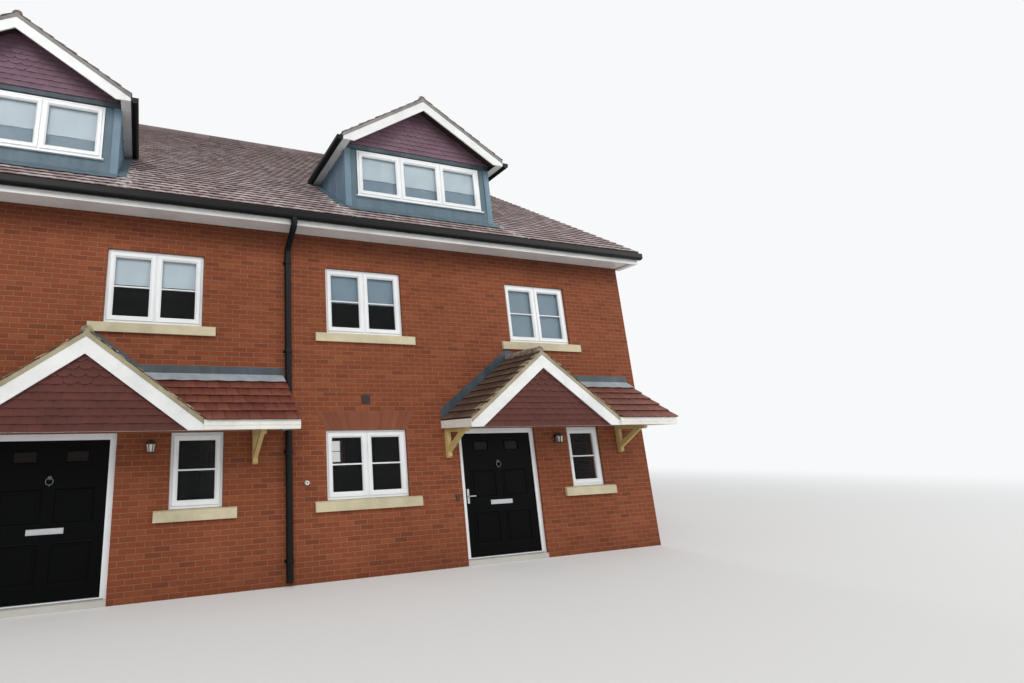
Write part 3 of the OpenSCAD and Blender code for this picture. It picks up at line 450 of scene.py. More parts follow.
def bonded_wall(name, length, course, joint, stops, mortar):
    """Bricks or blocks in stretcher bond. A place's row is its height over the course height, and its
    column is its way along the wall over the length, moved half a brick in every other row. Each cell has
    its own colour out of the stops. Where the distance to the cell's edge, made ragged by noise, is under
    half a joint, the wall is recessed sandy mortar, and soft patches of damp and soot go over all of it."""
    material, tree, shader = new_material(name)
    where, x, y, z = object_axes(tree)

    def to_edge(cells, size):
        """The distance in metres to the nearest edge of a cell."""
        share = add_node(tree, "Math", {0: cells, 1: 0.5}, operation="PINGPONG")
        return add_node(tree, "Math", {0: share, 1: size}, operation="MULTIPLY")

    # Side is 1 on the end walls, where the bond runs along Y, and 0 on the long walls, where it runs along X
    normal = add_node(tree, "TexCoord").outputs["Normal"]
    across = add_node(tree, "Math", {0: add_node(tree, "SeparateXYZ", {0: normal})}, operation="ABSOLUTE")
    side = add_node(tree, "Math", {0: across, 1: 0.5}, operation="GREATER_THAN")
    along = add_node(tree, "Mix", {0: side, 2: x, 3: y})
    rows = add_node(tree, "Math", {0: z, 1: course}, operation="DIVIDE")
    row = add_node(tree, "Math", {0: rows}, operation="FLOOR")
    half_row = add_node(tree, "Math", {0: row, 1: 0.5}, operation="MULTIPLY")
    stagger = add_node(tree, "Math", {0: half_row}, operation="FRACT")
    lengths = add_node(tree, "Math", {0: along, 1: length}, operation="DIVIDE")
    cols = add_node(tree, "Math", {0: lengths, 1: stagger}, operation="ADD")
    col = add_node(tree, "Math", {0: cols}, operation="FLOOR")
    cell = add_node(tree, "CombineXYZ", {0: col, 1: row, 2: side})
    each = add_node(tree, "TexWhiteNoise", {"Vector": cell}, noise_dimensions="3D")
    edge = add_node(tree, "Math", {0: to_edge(cols, length), 1: to_edge(rows, course)}, operation="MINIMUM")
    rag = add_node(tree, "TexNoise", {"Vector": where, "Scale": 90.0, "Detail": 3.0, "Roughness": 0.55})
    sway = add_node(tree, "Math", {0: rag, 1: 0.5}, operation="SUBTRACT")
    ragged = add_node(tree, "Math", {0: sway, 1: 0.004, 2: edge}, operation="MULTIPLY_ADD")
    body = add_node(tree, "MapRange", {0: ragged, 1: joint * 0.3, 2: joint * 0.7})
    brick = add_node(tree, "ValToRGB", {"Fac": each}, stops)
    colour = add_node(tree, "Mix", {0: body, 6: mortar, 7: brick}, data_type="RGBA").outputs[2]
    colour, grain = weathered(tree, where, colour, (140.0, 4.0, 0.55, 0.45), (0.6, 5.0, 0.6, 0.85), 0.7, 1.22)
    # Painted shade darkens the long walls under the eaves, and painted shade darkens the foot of every wall
    front = add_node(tree, "Math", {0: 1.0, 1: side}, operation="SUBTRACT")
    eaves_shade = add_node(tree, "MapRange", {0: z, 1: 4.7, 2: 5.36, 4: front})
    foot_shade = add_node(tree, "MapRange", {0: z, 1: 0.9, 2: 0.0, 4: 0.6})
    darkening = add_node(tree, "Math", {0: eaves_shade, 1: foot_shade}, operation="MAXIMUM")
    height = add_node(tree, "Math", {0: grain, 1: 0.35, 2: body}, operation="MULTIPLY_ADD")
    feed(tree, shader, {
        "Base Color": shaded(tree, colour, darkening, 1.0, 0.62),
        "Roughness": 0.9,
        "Specular IOR Level": 0.2,
        "Normal": add_node(tree, "Bump", {"Height": height, "Distance": 0.004})})
    return material


def toned_clay(name, stops, roughness=0.8, crust="#D9D6D2"):
    """Sanded clay: each piece takes its own tone from the tone attribute, over a sandy grain. Lime that has
    run down from lead and mortar, or lichen, lies pale on it where the lime attribute says."""
    material, tree, shader = new_material(name)
    where = add_node(tree, "TexCoord").outputs["Object"]
    tone, lime = [add_node(tree, "Attribute", attribute_name=key).outputs["Fac"] for key in ("tone", "lime")]
    clay = add_node(tree, "ValToRGB", {"Fac": tone}, stops)
    colour, grain = weathered(tree, where, clay, (160.0, 4.0, 0.55, 0.4), (1.3, 5.0, 0.55, 0.8), 0.7, 1.2)
    blots = add_node(tree, "TexNoise", {"Vector": where, "Scale": 14.0, "Detail": 4.0, "Roughness": 0.55})
    runs = add_node(tree, "MapRange", {0: blots, 1: 0.42, 2: 0.62})
    cover = add_node(tree, "Math", {0: lime, 1: runs}, operation="MULTIPLY")
    mix = add_node(tree, "Mix", {0: cover, 6: colour, 7: hex_linear(crust)}, data_type="RGBA")
    feed(tree, shader, {
        "Base Color": mix.outputs[2],
        "Roughness": roughness,
        "Specular IOR Level": 0.35,
        "Normal": add_node(tree, "Bump", {"Height": grain, "Distance": 0.0015})})
    return material


def plain_finish(name, code, roughness, grain_scale=0.0, depth=0.0005, stain=0.08, specular=0.5,
                 metallic=0.0):
    """A moulded, painted or cast finish: one colour that dirt darkens a little in soft patches, over a fine
    grain of so many a metre, which is coarser than the real one, so that it shows."""
    material, tree, shader = new_material(name)
    where = add_node(tree, "TexCoord").outputs["Object"]
    base = hex_linear(code)
    darkening = tuple(c * (1 - 2.5 * stain) for c in base[:3]) + (1.0,)
    soft = add_node(tree, "TexNoise", {"Vector": where, "Scale": 1.7, "Detail": 6.0, "Roughness": 0.65})
    patches = add_node(tree, "MapRange", {0: soft, 1: 0.42, 2: 0.75})
    mix = add_node(tree, "Mix", {0: patches, 6: base, 7: darkening}, data_type="RGBA")
    feed(tree, shader, {
        "Base Color": mix.outputs[2],
        "Roughness": roughness,
        "Specular IOR Level": specular,
        "Metallic": metallic})
    if grain_scale:
        fine = {"Vector": where, "Scale": grain_scale, "Detail": 4.0, "Roughness": 0.55}
        grain = add_node(tree, "TexNoise", fine)
        feed(tree, shader, {"Normal": add_node(tree, "Bump", {"Height": grain, "Distance": depth})})
    return material


def milled_lead(name, code, streak):
    """Milled lead sheet gone dull: a blue-grey skin with paler oxide that runs down it in streaks, three
    times as long as they are wide."""
    material, tree, shader = new_material(name)
    where = add_node(tree, "TexCoord").outputs["Object"]
    squeezed = add_node(tree, "Mapping", {"Vector": where, "Scale": (4.0, 4.0, 1.2)})
    streaks = add_node(tree, "TexNoise", {"Vector": squeezed, "Scale": 1.0, "Detail": 5.0, "Roughness": 0.6})
    runs = add_node(tree, "MapRange", {0: streaks, 1: 0.35, 2: 0.75})
    dents = add_node(tree, "TexNoise", {"Vector": where, "Scale": 7.0, "Detail": 3.0, "Roughness": 0.55})
    mix = add_node(tree, "Mix", {0: runs, 6: hex_linear(code), 7: hex_linear(streak)}, data_type="RGBA")
    feed(tree, shader, {
        "Base Color": mix.outputs[2],
        "Roughness": 0.55,
        "Specular IOR Level": 0.4,
        "Normal": add_node(tree, "Bump", {"Height": dents, "Distance": 0.004})})
    return material


def float_glass(name, tint, alpha, roughness=0.02, ripple=0.0006, scale=3.0, specular=0.5):
    """Float glass before a dark room: it mirrors the sky a little, and its alpha lets what hangs behind it
    show. Obscure glass is the same with a deep close ripple."""
    material, tree, shader = new_material(name)
    where = add_node(tree, "TexCoord").outputs["Object"]
    waves = {"Vector": where, "Scale": scale, "Detail": 1.0, "Roughness": 0.55}
    feed(tree, shader, {
        "Base Color": hex_linear(tint),
        "Alpha": alpha,
        "Roughness": roughness,
        "Specular IOR Level": specular,
        "Normal": add_node(tree, "Bump", {"Height": add_node(tree, "TexNoise", waves), "Distance": ripple})})
    return material


def woven_cloth(name, code):
    """Plain woven blind or curtain cloth: matt and pale, with threads 7 mm apart, which is coarser than
    real cloth, so that the weave shows."""
    material, tree, shader = new_material(name)
    where, x, _, z = object_axes(tree)
    close = [add_node(tree, "Math", {0: way, 1: 900.0}, operation="MULTIPLY") for way in (x, z)]
    warp, weft = [add_node(tree, "Math", {0: way}, operation="SINE") for way in close]
    threads = add_node(tree, "Math", {0: warp, 1: weft}, operation="MULTIPLY")
    # Soft patches of painted shade and light stand for the cloth's folds
    fold_shade = add_node(tree, "TexNoise", {"Vector": where, "Scale": 4.0, "Detail": 3.0, "Roughness": 0.55})
    feed(tree, shader, {
        "Base Color": shaded(tree, hex_linear(code), fold_shade, 0.85, 1.05),
        "Roughness": 0.95,
        "Normal": add_node(tree, "Bump", {"Height": threads, "Distance": 0.0003})})
    return material


# Shapes of repeated pieces

def tile_bank(origin, along, up, width, height, seed, span=None, holes=(), club=None, lime=None, hung=False):
    """Courses of plain tiles on a plane, each a closed wedge. A tile's point at (u, v) lies at origin + u
    along + v up, and stands off the plane by a height that falls evenly from its tail to its head, plus a
    camber that is a parabola across it. span(v) gives the lowest and highest u at v, a hole is (u0, u1, v0,
    v1), club(u, v) says which tails are round, and lime(u, v) how white a tile is. A tile's tone has painted
    light: a painted highlight along the top of its tail, and painted shade under its tail and at its head.
    Returns the mesh with the tone and the lime of each point."""
    s = bpy.context.scene.terrace_tiles
    wide, gauge, thick = (s.hung_width, s.hung_gauge, s.hung_thick) if hung else (s.width, s.gauge, s.thick)
    gap, painted_light, spread = (HUNG_GAP, HUNG_PAINTED_LIGHT, HUNG_SPREAD) if hung else (ROOF_GAP, ROOF_PAINTED_LIGHT, ROOF_SPREAD)
    rng = np.random.default_rng(seed)
    origin, along, up = (np.asarray(a, float) for a in (origin, along, up))
    normal = np.cross(along, up)
    # Every other course is moved by half a tile, and a tile that meets a hole is cut at its edge or left out
    rows, cols = int(np.ceil(height / gauge)), int(np.ceil(width / wide)) + 1
    r, c = [a.ravel() for a in np.meshgrid(np.arange(rows), np.arange(cols), indexing="ij")]
    across = np.linspace(0, 1, 3 if club is None else 7)
    u = np.clip((c - 0.5 * (r % 2))[:, None] * wide + across * (wide - gap), 0, width)
    tail = (r * gauge)[:, None] + rng.uniform(-STRAY, STRAY, (len(r), 1)) + 0 * across
    tail = np.maximum(tail, 0.0)
    head = np.minimum(tail + gauge + LAP, height)
    stay = u[:, -1] - u[:, 0] > SLIVER
    for u0, u1, v0, v1 in holes:
        level = (tail[:, 0] > v0 - 0.03) & (tail[:, 0] < v1)
        left, right = level & (u[:, 0] < u0 - SLIVER), level & (u[:, -1] > u1 + SLIVER)
        stay &= ~(level & (u[:, -1] > u0) & (u[:, 0] < u1) & ~left & ~right)
        u[left] = np.minimum(u[left], u0)
        u[right & ~left] = np.maximum(u[right & ~left], u1)
    u_tail, u_head = u, u
    if span is not None:
        u_tail, u_head = (np.clip(u, *span(v)) for v in (tail, head))
        stay &= np.maximum(np.ptp(u_tail, axis=1), np.ptp(u_head, axis=1)) > SLIVER
    u_tail, u_head, tail, head = (a[stay] for a in (u_tail, u_head, tail, head))
    n, m = u_tail.shape
    middle = u_tail.mean(1), tail[:, 0]
    if club is not None:
        # A round tail is an arc of a circle 50 mm deep
        curve = 0.05 * (1 - np.sqrt(1 - (0.97 * (2 * across - 1)) ** 2))
        tail = tail + np.where(club(*middle)[:, None], curve, 0.0)
    # A tail's top stands off by 1.2 thicknesses and a little play, and falls by 1.15 of them in one gauge
    rise = s.camber * (1 - (2 * across - 1) ** 2) + rng.uniform(0, 0.003, (n, 1))
    top = thick * 1.2 + rise
    head_top = top - thick * 1.15 * (head - tail) / gauge
    stack = [(u_tail, tail, np.maximum(top - thick, 0.0)), (u_tail, tail, top), (u_head, head, head_top)]
    grid = np.stack([origin + a[..., None] * along + b[..., None] * up + h[..., None] * normal
                     for a, b, h in stack], 1)
    first = (np.arange(n) * 3 * m)[:, None, None]
    quads = ((grid_faces(4, m) % (3 * m))[None] + first).reshape(-1, 4)
    ends = (np.array([[0, m, 2 * m], [3 * m - 1, 2 * m - 1, m - 1]])[None] + first).reshape(-1, 3)
    white = np.zeros(n) if lime is None else lime(*middle)
    # A tile's tone spreads at random, and painted light is added: painted shadow under its tail, a painted
    # highlight along its top and painted shade at its head
    tone = np.clip(0.5 - spread / 2 + spread * rng.random(n)[:, None] + np.repeat(painted_light, m), 0, 1).ravel()
    return (grid.reshape(-1, 3), [*quads.tolist(), *ends.tolist()]), tone, np.repeat(white, 3 * m)


def laid(name, banks, material, slot, **more):
    """Several banks of tiles or bricks as one piece."""
    meshes, tone, lime = zip(*banks)
    return piece(name, joined(meshes), material, slot, tone=np.concatenate(tone), lime=np.concatenate(lime),
                 **more)


def hogsback(start, end, radius, fall, seed, length=0.45, thick=0.016, crusted=0.0):
    """Half-round ridge tiles end to end. The section is an arc from one slope to the other, carried from
    start to end in lengths that swell a little at the tail, with a mortar joint between them."""
    start, end = np.asarray(start, float), np.asarray(end, float)
    whole = float(np.linalg.norm(end - start))
    way = (end - start) / whole
    side = np.cross(way, UP)
    count = max(1, round(whole / length))
    step = whole / count
    reach = math.pi / 2 + math.atan(fall) - 0.15
    angle = np.linspace(-reach, reach, 13)
    ring = np.sin(angle)[:, None] * side + np.cos(angle)[:, None] * UP
    bore = radius - thick
    places = [(0.005, radius + 0.006), (0.035, radius), (step - 0.005, radius),
              (step - 0.005, bore), (0.005, bore)]
    one = np.stack([start + way * a + r * ring for a, r in places])
    points = (one[None] + (np.arange(count) * step)[:, None, None, None] * way).reshape(-1, 3)
    n, k = len(angle), len(places)
    first = (np.arange(count) * n * k)[:, None, None]
    quads = ((grid_faces(k + 1, n) % (n * k))[None] + first).reshape(-1, 4)
    ends = (np.array([np.arange(0, n * k, n), np.arange(n - 1, n * k, n)[::-1]])[None] + first).reshape(-1, k)
    # A core of mortar fills the tiles and shows at their joints and at the end
    core = carried([start + way * 0.012 + bore * r for r in ring], way * (whole - 0.016))
    rng = np.random.default_rng(seed)
    tone = np.concatenate([np.repeat(rng.random(count), n * k), np.ones(len(core[0]))])
    return joined([(points, [*quads.tolist(), *ends.tolist()]), core]), tone, np.full(len(tone), crusted)


def flat_arch(left, right, foot, head, y, facing, seed):
    """A flat arch of bricks on end. Brick k of n runs from left + k/n of the opening at the foot to the
    same share of a longer line at the head, so that the joints fan out from the middle. Returns the bricks
    and the bed behind them."""
    n = round((right - left) / bpy.context.scene.terrace_bricks.course)
    rng = np.random.default_rng(seed)
    k = np.arange(n)[:, None] + np.array([[0.05, 0.95, 0.95, 0.05]])
    share = np.array([[0, 0, 1, 1]])
    x = left - share * ARCH_SPLAY + (right - left + 2 * share * ARCH_SPLAY) * k / n
    z = foot + 0.005 + (head - foot - 0.009) * share + 0 * x
    front = np.stack([x, y + facing * 0.004 + 0 * x, z], -1)
    points = np.concatenate([front, front - (0, facing * 0.006, 0)], 1).reshape(-1, 3)
    box = np.array([[0, 1, 2, 3], [7, 6, 5, 4], [0, 4, 5, 1], [1, 5, 6, 2], [2, 6, 7, 3], [3, 7, 4, 0]])
    faces = (box[None] + (8 * np.arange(n))[:, None, None]).reshape(-1, 4)
    bed_y = y + facing * 0.0015
    corners = [(left, foot), (right, foot), (right + ARCH_SPLAY, head), (left - ARCH_SPLAY, head)]
    bed = carried([(x, bed_y, z) for x, z in corners], (0, -facing * 0.003, 0))
    return ((points, faces.tolist()), np.repeat(rng.random(n), 8), np.zeros(8 * n)), bed


def gable_slope(side, middle, half, front_y, ridge_z, fall, back, seed, crusted):
    """One tiled slope of a small gable, the left (-1) or the right (1): back(z) gives how far back a course
    runs at a height, and crusted how much lichen covers the tiles along the verge."""
    slant = math.hypot(1, fall)
    foot_z = ridge_z - fall * half
    deep = back(ridge_z)
    run = deep - front_y

    def back_at(v):
        """How far back the slope runs at a way up it."""
        return back(foot_z + v * fall / slant)

    def span(v):
        """The right slope is laid from the front to the back, and the left one from the back to the front."""
        if side > 0:
            return 0 * v, np.maximum(back_at(v) - front_y, 0)
        return np.minimum(deep - back_at(v), run), 0 * v + run

    def lichen(u, v):
        """A strip 0.14 m wide along the verge, thicker and thinner up the slope as a sine."""
        at_verge = u < 0.14 if side > 0 else u > run - 0.14
        return crusted * at_verge * (0.6 + 0.4 * np.sin(v * 37.0))

    origin = (middle + side * half, front_y if side > 0 else deep, foot_z)
    up = np.array([-side, 0, fall]) / slant
    return tile_bank(origin, (0, side, 0), up, run, half * slant - 0.05, seed, span=span, lime=lichen)


def hung_gable(middle, wide, high, foot, fall, seed, share, half):
    """Hung tiles on a gable's face: courses whose ends follow the slopes, no wider than half to each side,
    with round tails in a diamond on the middle line, at a share of the height."""
    def span(v):
        """Both ends of a course follow the slopes, up to half to each side."""
        return np.maximum(v / fall, wide - half), np.minimum(2 * wide - v / fall, wide + half)

    def club(u, v):
        """A tail is round inside the diamond |u| / 0.36 + |v| / 0.2 high < 1 about its middle."""
        return abs(u - wide) / 0.36 + abs(v - high * share) / (high * 0.2) < 1

    return tile_bank((middle - wide, *foot), (1, 0, 0), (0, 0, 1), 2 * wide, high - 0.03, seed,
                     span=span, club=club, hung=True)


def verge_strip(middle, half, roof_y, ridge_z, fall):
    """Mortar under the tiles along both slopes of a gable: a bent strip 75 mm deep, carried from just
    before the roof's front to just behind it."""
    low = -0.075
    bends = ((-half, 0.0), (0, 0.0), (half, 0.0), (half, low), (0, low), (-half, low))
    front, back = roof_y - 0.027, roof_y + 0.05
    return carried([(middle + x, front, ridge_z - fall * abs(x) + d) for x, d in bends], (0, back - front, 0))


def main_roof_z(y):
    """The height of the main roof's tile plane at a place in front of the ridge."""
    return RIDGE_Z + bpy.context.scene.terrace_tiles.roof_tan * y


def main_roof_y(z):
    """The place in front of the ridge where the main roof's tile plane has a height."""
    return -(RIDGE_Z - z) / bpy.context.scene.terrace_tiles.roof_tan


def windows(s):
    """Every window of the house at line 0. Y is that of the frame's face."""
    front, rear, dormer_y = FRONT_Y + s.reveal, -FRONT_Y - s.reveal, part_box("dormer_window_frames")[0][1]
    ground, first = (s.ground_z, s.ground_h), (s.first_z, s.first_h)
    rows = [
        (-s.wide_x, s.wide, *ground, 2, front, -1),
        (-s.narrow_x, s.narrow, *ground, 1, front, -1),
        (-s.first_left_x, s.wide, *first, 2, front, -1),
        (-s.first_right_x, s.wide, *first, 2, front, -1),
        (DORMER_MIDDLES[0] + s.dormer / 2, s.dormer, s.dormer_z, s.dormer_h, 3, dormer_y, -1),
        (-s.wide_x, s.wide, *ground, 2, rear, 1),
        (-s.first_right_x, s.wide, *ground, 2, rear, 1),
        (-s.first_left_x, s.wide, *first, 2, rear, 1),
        (-s.first_right_x, s.wide, *first, 2, rear, 1)]
    return [Window(right - wide, right, foot, foot + high, lights, y, facing)
            for right, wide, foot, high, lights, y, facing in rows]


def lights_of(s, window):
    """The glass openings of one window as (left, right, foot, head)."""
    wide = (window.right - window.left - 2 * s.face - (window.lights - 1) * s.mullion) / window.lights
    starts = [window.left + s.face + i * (wide + s.mullion) for i in range(window.lights)]
    return [(x, x + wide, window.foot + s.face, window.head - s.face) for x in starts]


# Operators, one for each group of like pieces

class TERRACE_OT_stage(bpy.types.Operator):
    """Floor, lamps, world and camera"""
    bl_idname = "terrace.stage"
    bl_label = "Stage"

    def execute(self, context):
        scene = context.scene
        scene.view_settings.view_transform = "Standard"
        self.add_floor(scene)
        self.add_sky(scene)
        self.add_lamps(scene)
        self.add_camera(scene)
        return {"FINISHED"}

    def seen_plainly(self, tree):
        """Is 1 where the camera sees a thing directly, in gloss or through glass."""
        path = add_node(tree, "LightPath").outputs
        rays = {0: path["Is Camera Ray"], 1: path["Is Glossy Ray"]}
        direct = add_node(tree, "Math", rays, operation="MAXIMUM")
        return add_node(tree, "Math", {0: direct, 1: path["Is Transmission Ray"]}, operation="MAXIMUM")

    def add_floor(self, scene):
        """Pale matt floor. Far from the row it takes the colour of the sky, so that no horizon shows."""
        material, tree, shader = new_material("pale_matt_floor")
        x, y = object_axes(tree)[1:3]
        feed(tree, shader, {
            "Base Color": hex_linear("#E4E4E3"),
            "Roughness": 0.95,
            "Specular IOR Level": 0.1})
        y_squared = add_node(tree, "Math", {0: y, 1: y}, operation="MULTIPLY")
        squared = add_node(tree, "Math", {0: x, 1: x, 2: y_squared}, operation="MULTIPLY_ADD")
        away = add_node(tree, "Math", {0: squared}, operation="SQRT")
        far = add_node(tree, "MapRange", {0: away, 1: 12.0, 2: 34.0}, interpolation_type="SMOOTHSTEP")
        share = add_node(tree, "Math", {0: far, 1: self.seen_plainly(tree)}, operation="MULTIPLY")
        glow = add_node(tree, "Emission", {"Color": hex_linear(SKY), "Strength": 1.0})
        both = add_node(tree, "MixShader", {0: share, 1: shader, 2: glow})
        feed(tree, tree.nodes["Material Output"], {"Surface": both})
        size, z = 400.0, -0.002
        corners = [(-size, -size, z), (size, -size, z), (size, size, z), (-size, size, z)]
        mesh = bpy.data.meshes.new("floor")
        mesh.from_pydata(corners, [], [(0, 1, 2, 3)])
        floor = bpy.data.objects.new("floor", mesh)
        mesh.materials.append(material)
        scene.collection.objects.link(floor)

    def add_sky(self, scene):
        """A sky that looks white and lights the row with a little less."""
        world = bpy.data.worlds.new("pale_sky")
        scene.world = world
        world.use_nodes = True
        tree = world.node_tree
        tree.nodes.clear()
        strength = add_node(tree, "MapRange", {0: self.seen_plainly(tree), 3: 0.62, 4: 1.0})
        background = add_node(tree, "Background", {"Color": hex_linear(SKY), "Strength": strength})
        tree.nodes.active = add_node(tree, "OutputWorld", {"Surface": background})

    def add_lamps(self, scene):
        """Three wide soft lamps, each turned to the middle of the row."""
        middle = Vector((0, 0, 4))
        lamps = [("key", (-12, -28, 20), 3900, 14), ("fill", (18, -20, 12), 1600, 16),
                 ("back", (6, 26, 18), 1800, 16)]
        for name, place, energy, size in lamps:
            lamp = bpy.data.lights.new(name, "AREA")
            lamp.energy = energy
            lamp.size = size
            light = bpy.data.objects.new(name, lamp)
            light.location = place
            light.rotation_euler = (middle - Vector(place)).to_track_quat("-Z", "Y").to_euler()
            scene.collection.objects.link(light)

    def add_camera(self, scene):
        """The camera at the photograph's viewing angle."""
        camera = bpy.data.cameras.new("camera")
        camera.sensor_width = 36.0
        camera.sensor_fit = "HORIZONTAL"
        at = scene.terrace_camera
        camera.lens = camera.sensor_width * at.focal
        camera.shift_x, camera.shift_y = at.shift
        camera.clip_end = 2000
        turn = Vector(at.turn)
        upright = Matrix(((1, 0, 0), (0, 0, -1), (0, 1, 0)))
        to_lens = Matrix.Rotation(turn.length, 3, turn.normalized()) @ upright
        view = Matrix((to_lens[0], -to_lens[1], -to_lens[2])).transposed().to_4x4()
        obj = bpy.data.objects.new("camera", camera)
        obj.matrix_world = Matrix.Translation(at.place) @ view
        scene.collection.objects.link(obj)
        scene.camera = obj


class TERRACE_OT_brickwork(bpy.types.Operator):
    """Brick and block walls, flat arches, floors and stone sills"""
    bl_idname = "terrace.brickwork"
    bl_label = "Brickwork"

    def execute(self, context):
        s = context.scene.terrace_bricks
        # Multi-red facing brick: fired clay, matt and sandy, its red changing from brick to brick
        stops = [(0.0, s.dark), (0.16, s.red), (0.62, s.red), (0.86, s.orange), (0.95, s.red), (1.0, s.dark)]
        dress(bonded_wall("multi_red_facing_brick", s.length, s.course, s.joint, stops, s.mortar),
              "front_wall_left", "front_wall_middle", "front_wall_right", "front_wall_upper", "rear_wall",
              "gable_wall")
        # Dense concrete block: moulded, matt and even, each block a little lighter or darker
        dress(bonded_wall("dense_grey_block", 0.45, 0.225, 0.01, BLOCK_TONES, hex_linear("#B4B1A9")),
              "end_party_wall", "party_wall")
        # Floated concrete: pale, flat and dull, with a trace of the float
        dress(plain_finish("floated_concrete", "#BDBAB2", 0.9, 60.0), "ground_slabs")
        # Chipboard: pressed flakes of wood, plain buff with a very fine grain
        dress(plain_finish("chipboard_floor", "#B79B72", 0.75, 200.0), "first_floors", "attic_floors")
        # Cast stone: reconstituted limestone out of a mould, matt and sandy, grey where water stands on it
        dress(plain_finish("cast_stone", "#C9BE9F", 0.85, 220.0, 0.001, 0.14), "stone_sills")
        # Over each wide ground window, front and rear, stands a flat arch
        arches = []
        spec = windows(context.scene.terrace_windows)
        for window in (spec[GROUND_WIDE], spec[REAR_GROUND_LEFT], spec[REAR_GROUND_RIGHT]):
            wall_y, head = window.facing * abs(FRONT_Y), window.head + ARCH_COURSES * s.course
            for i, line in enumerate(LINES):
                left, right = window.left + line, window.right + line
                arches.append(flat_arch(left, right, window.head, head, wall_y, window.facing, 50 + i))
        banks, beds = zip(*arches)
        # Rubbed brick: soft clay rubbed to a wedge, so even in colour and smoother than the wall
        laid("flat_arch_bricks", banks, toned_clay("rubbed_arch_brick", ARCH_TONES), "brick")
        # Arch mortar: sand and cement in thin joints, matt and brown
        mortar = plain_finish("sandy_arch_mortar", "#84563F", 0.95, 200.0, 0.001)
        piece("flat_arch_mortar", joined(beds), mortar, "brick")
        return {"FINISHED"}


class TERRACE_OT_main_roof(bpy.types.Operator):
    """Plain tiles on the two long slopes and ridge tiles on every ridge"""
    bl_idname = "terrace.main_roof"
    bl_label = "Main roof"

    def execute(self, context):
        s = context.scene.terrace_tiles
        # Sanded plain tile: pressed clay with sand rolled into its face, in mixed reds gone grey with weather,
        # and drawn paler still with a painted sheen of the sky
        clay = toned_clay("mixed_sanded_roof_tile", SKY_SHEEN_ROOF_TONES)
        dress(clay, "front_roof_eaves", "front_roof_middle", "front_roof_top", "rear_roof_slope")
        (x0, y0, _), x1 = EAVES[0], EAVES[1][0]
        slant = math.hypot(1, s.roof_tan)
        foot_z = main_roof_z(y0)
        height = -y0 * slant - 0.06

        def up_slope(y):
            """How far up the front slope a place lies."""
            return (y - y0) * slant

        dormer_foot, dormer_top = up_slope(DORMER[0][1]), up_slope(main_roof_y(DORMER[1][2]))
        holes = [(m - DORMER_HALF - x0, m + DORMER_HALF - x0, dormer_foot, dormer_top)
                 for m in DORMER_MIDDLES]

        def lime(u, v):
            """White runs of lime beside the dormers, up to 0.9 m above their feet."""
            beside = np.min([abs(abs(u + x0 - m) - DORMER_HALF - 0.14) for m in DORMER_MIDDLES], axis=0)
            return np.clip(1.15 - beside / 0.16, 0, 0.9) * (v < dormer_foot + 0.9)

        front_up, rear_up = np.array([0, 1, s.roof_tan]) / slant, np.array([0, -1, s.roof_tan]) / slant
        front = tile_bank((x0, y0, foot_z), (1, 0, 0), front_up, x1 - x0, height, 11, holes=holes, lime=lime)
        laid("front_roof_tiles", [front], clay, "roof_tile")
        rear = tile_bank((x1, -y0, foot_z), (-1, 0, 0), rear_up, x1 - x0, height, 12)
        laid("rear_roof_tiles", [rear], clay, "roof_tile")
        runs = [hogsback((x1, 0, RIDGE_Z), (x0, 0, RIDGE_Z), 0.125, s.roof_tan, 21)]
        for i, (dormer_x, porch_x) in enumerate(zip(DORMER_MIDDLES, PORCH_MIDDLES)):
            z = DORMER_ROOF[1][2]
            runs.append(hogsback((dormer_x, DORMER_ROOF[0][1], z), (dormer_x, main_roof_y(z) - 0.1, z),
                                 0.07, s.dormer_tan, 22 + i, 0.3))
            z = PORCH_ROOF[1][2]
            runs.append(hogsback((porch_x, PORCH_ROOF[0][1], z), (porch_x, FRONT_Y - 0.006, z),
                                 0.07, s.porch_tan, 32 + i, 0.3, crusted=0.9))
        # Half-round ridge tile: the same clay, smoother and greyer, with pale lichen on the low ridges
        ridge = toned_clay("half_round_clay_ridge", RIDGE_TONES, crust="#A5987A")
        laid("half_round_ridge_tiles", runs, ridge, "roof_tile", smooth=True, replaces=("ridge_tiles",))
        return {"FINISHED"}


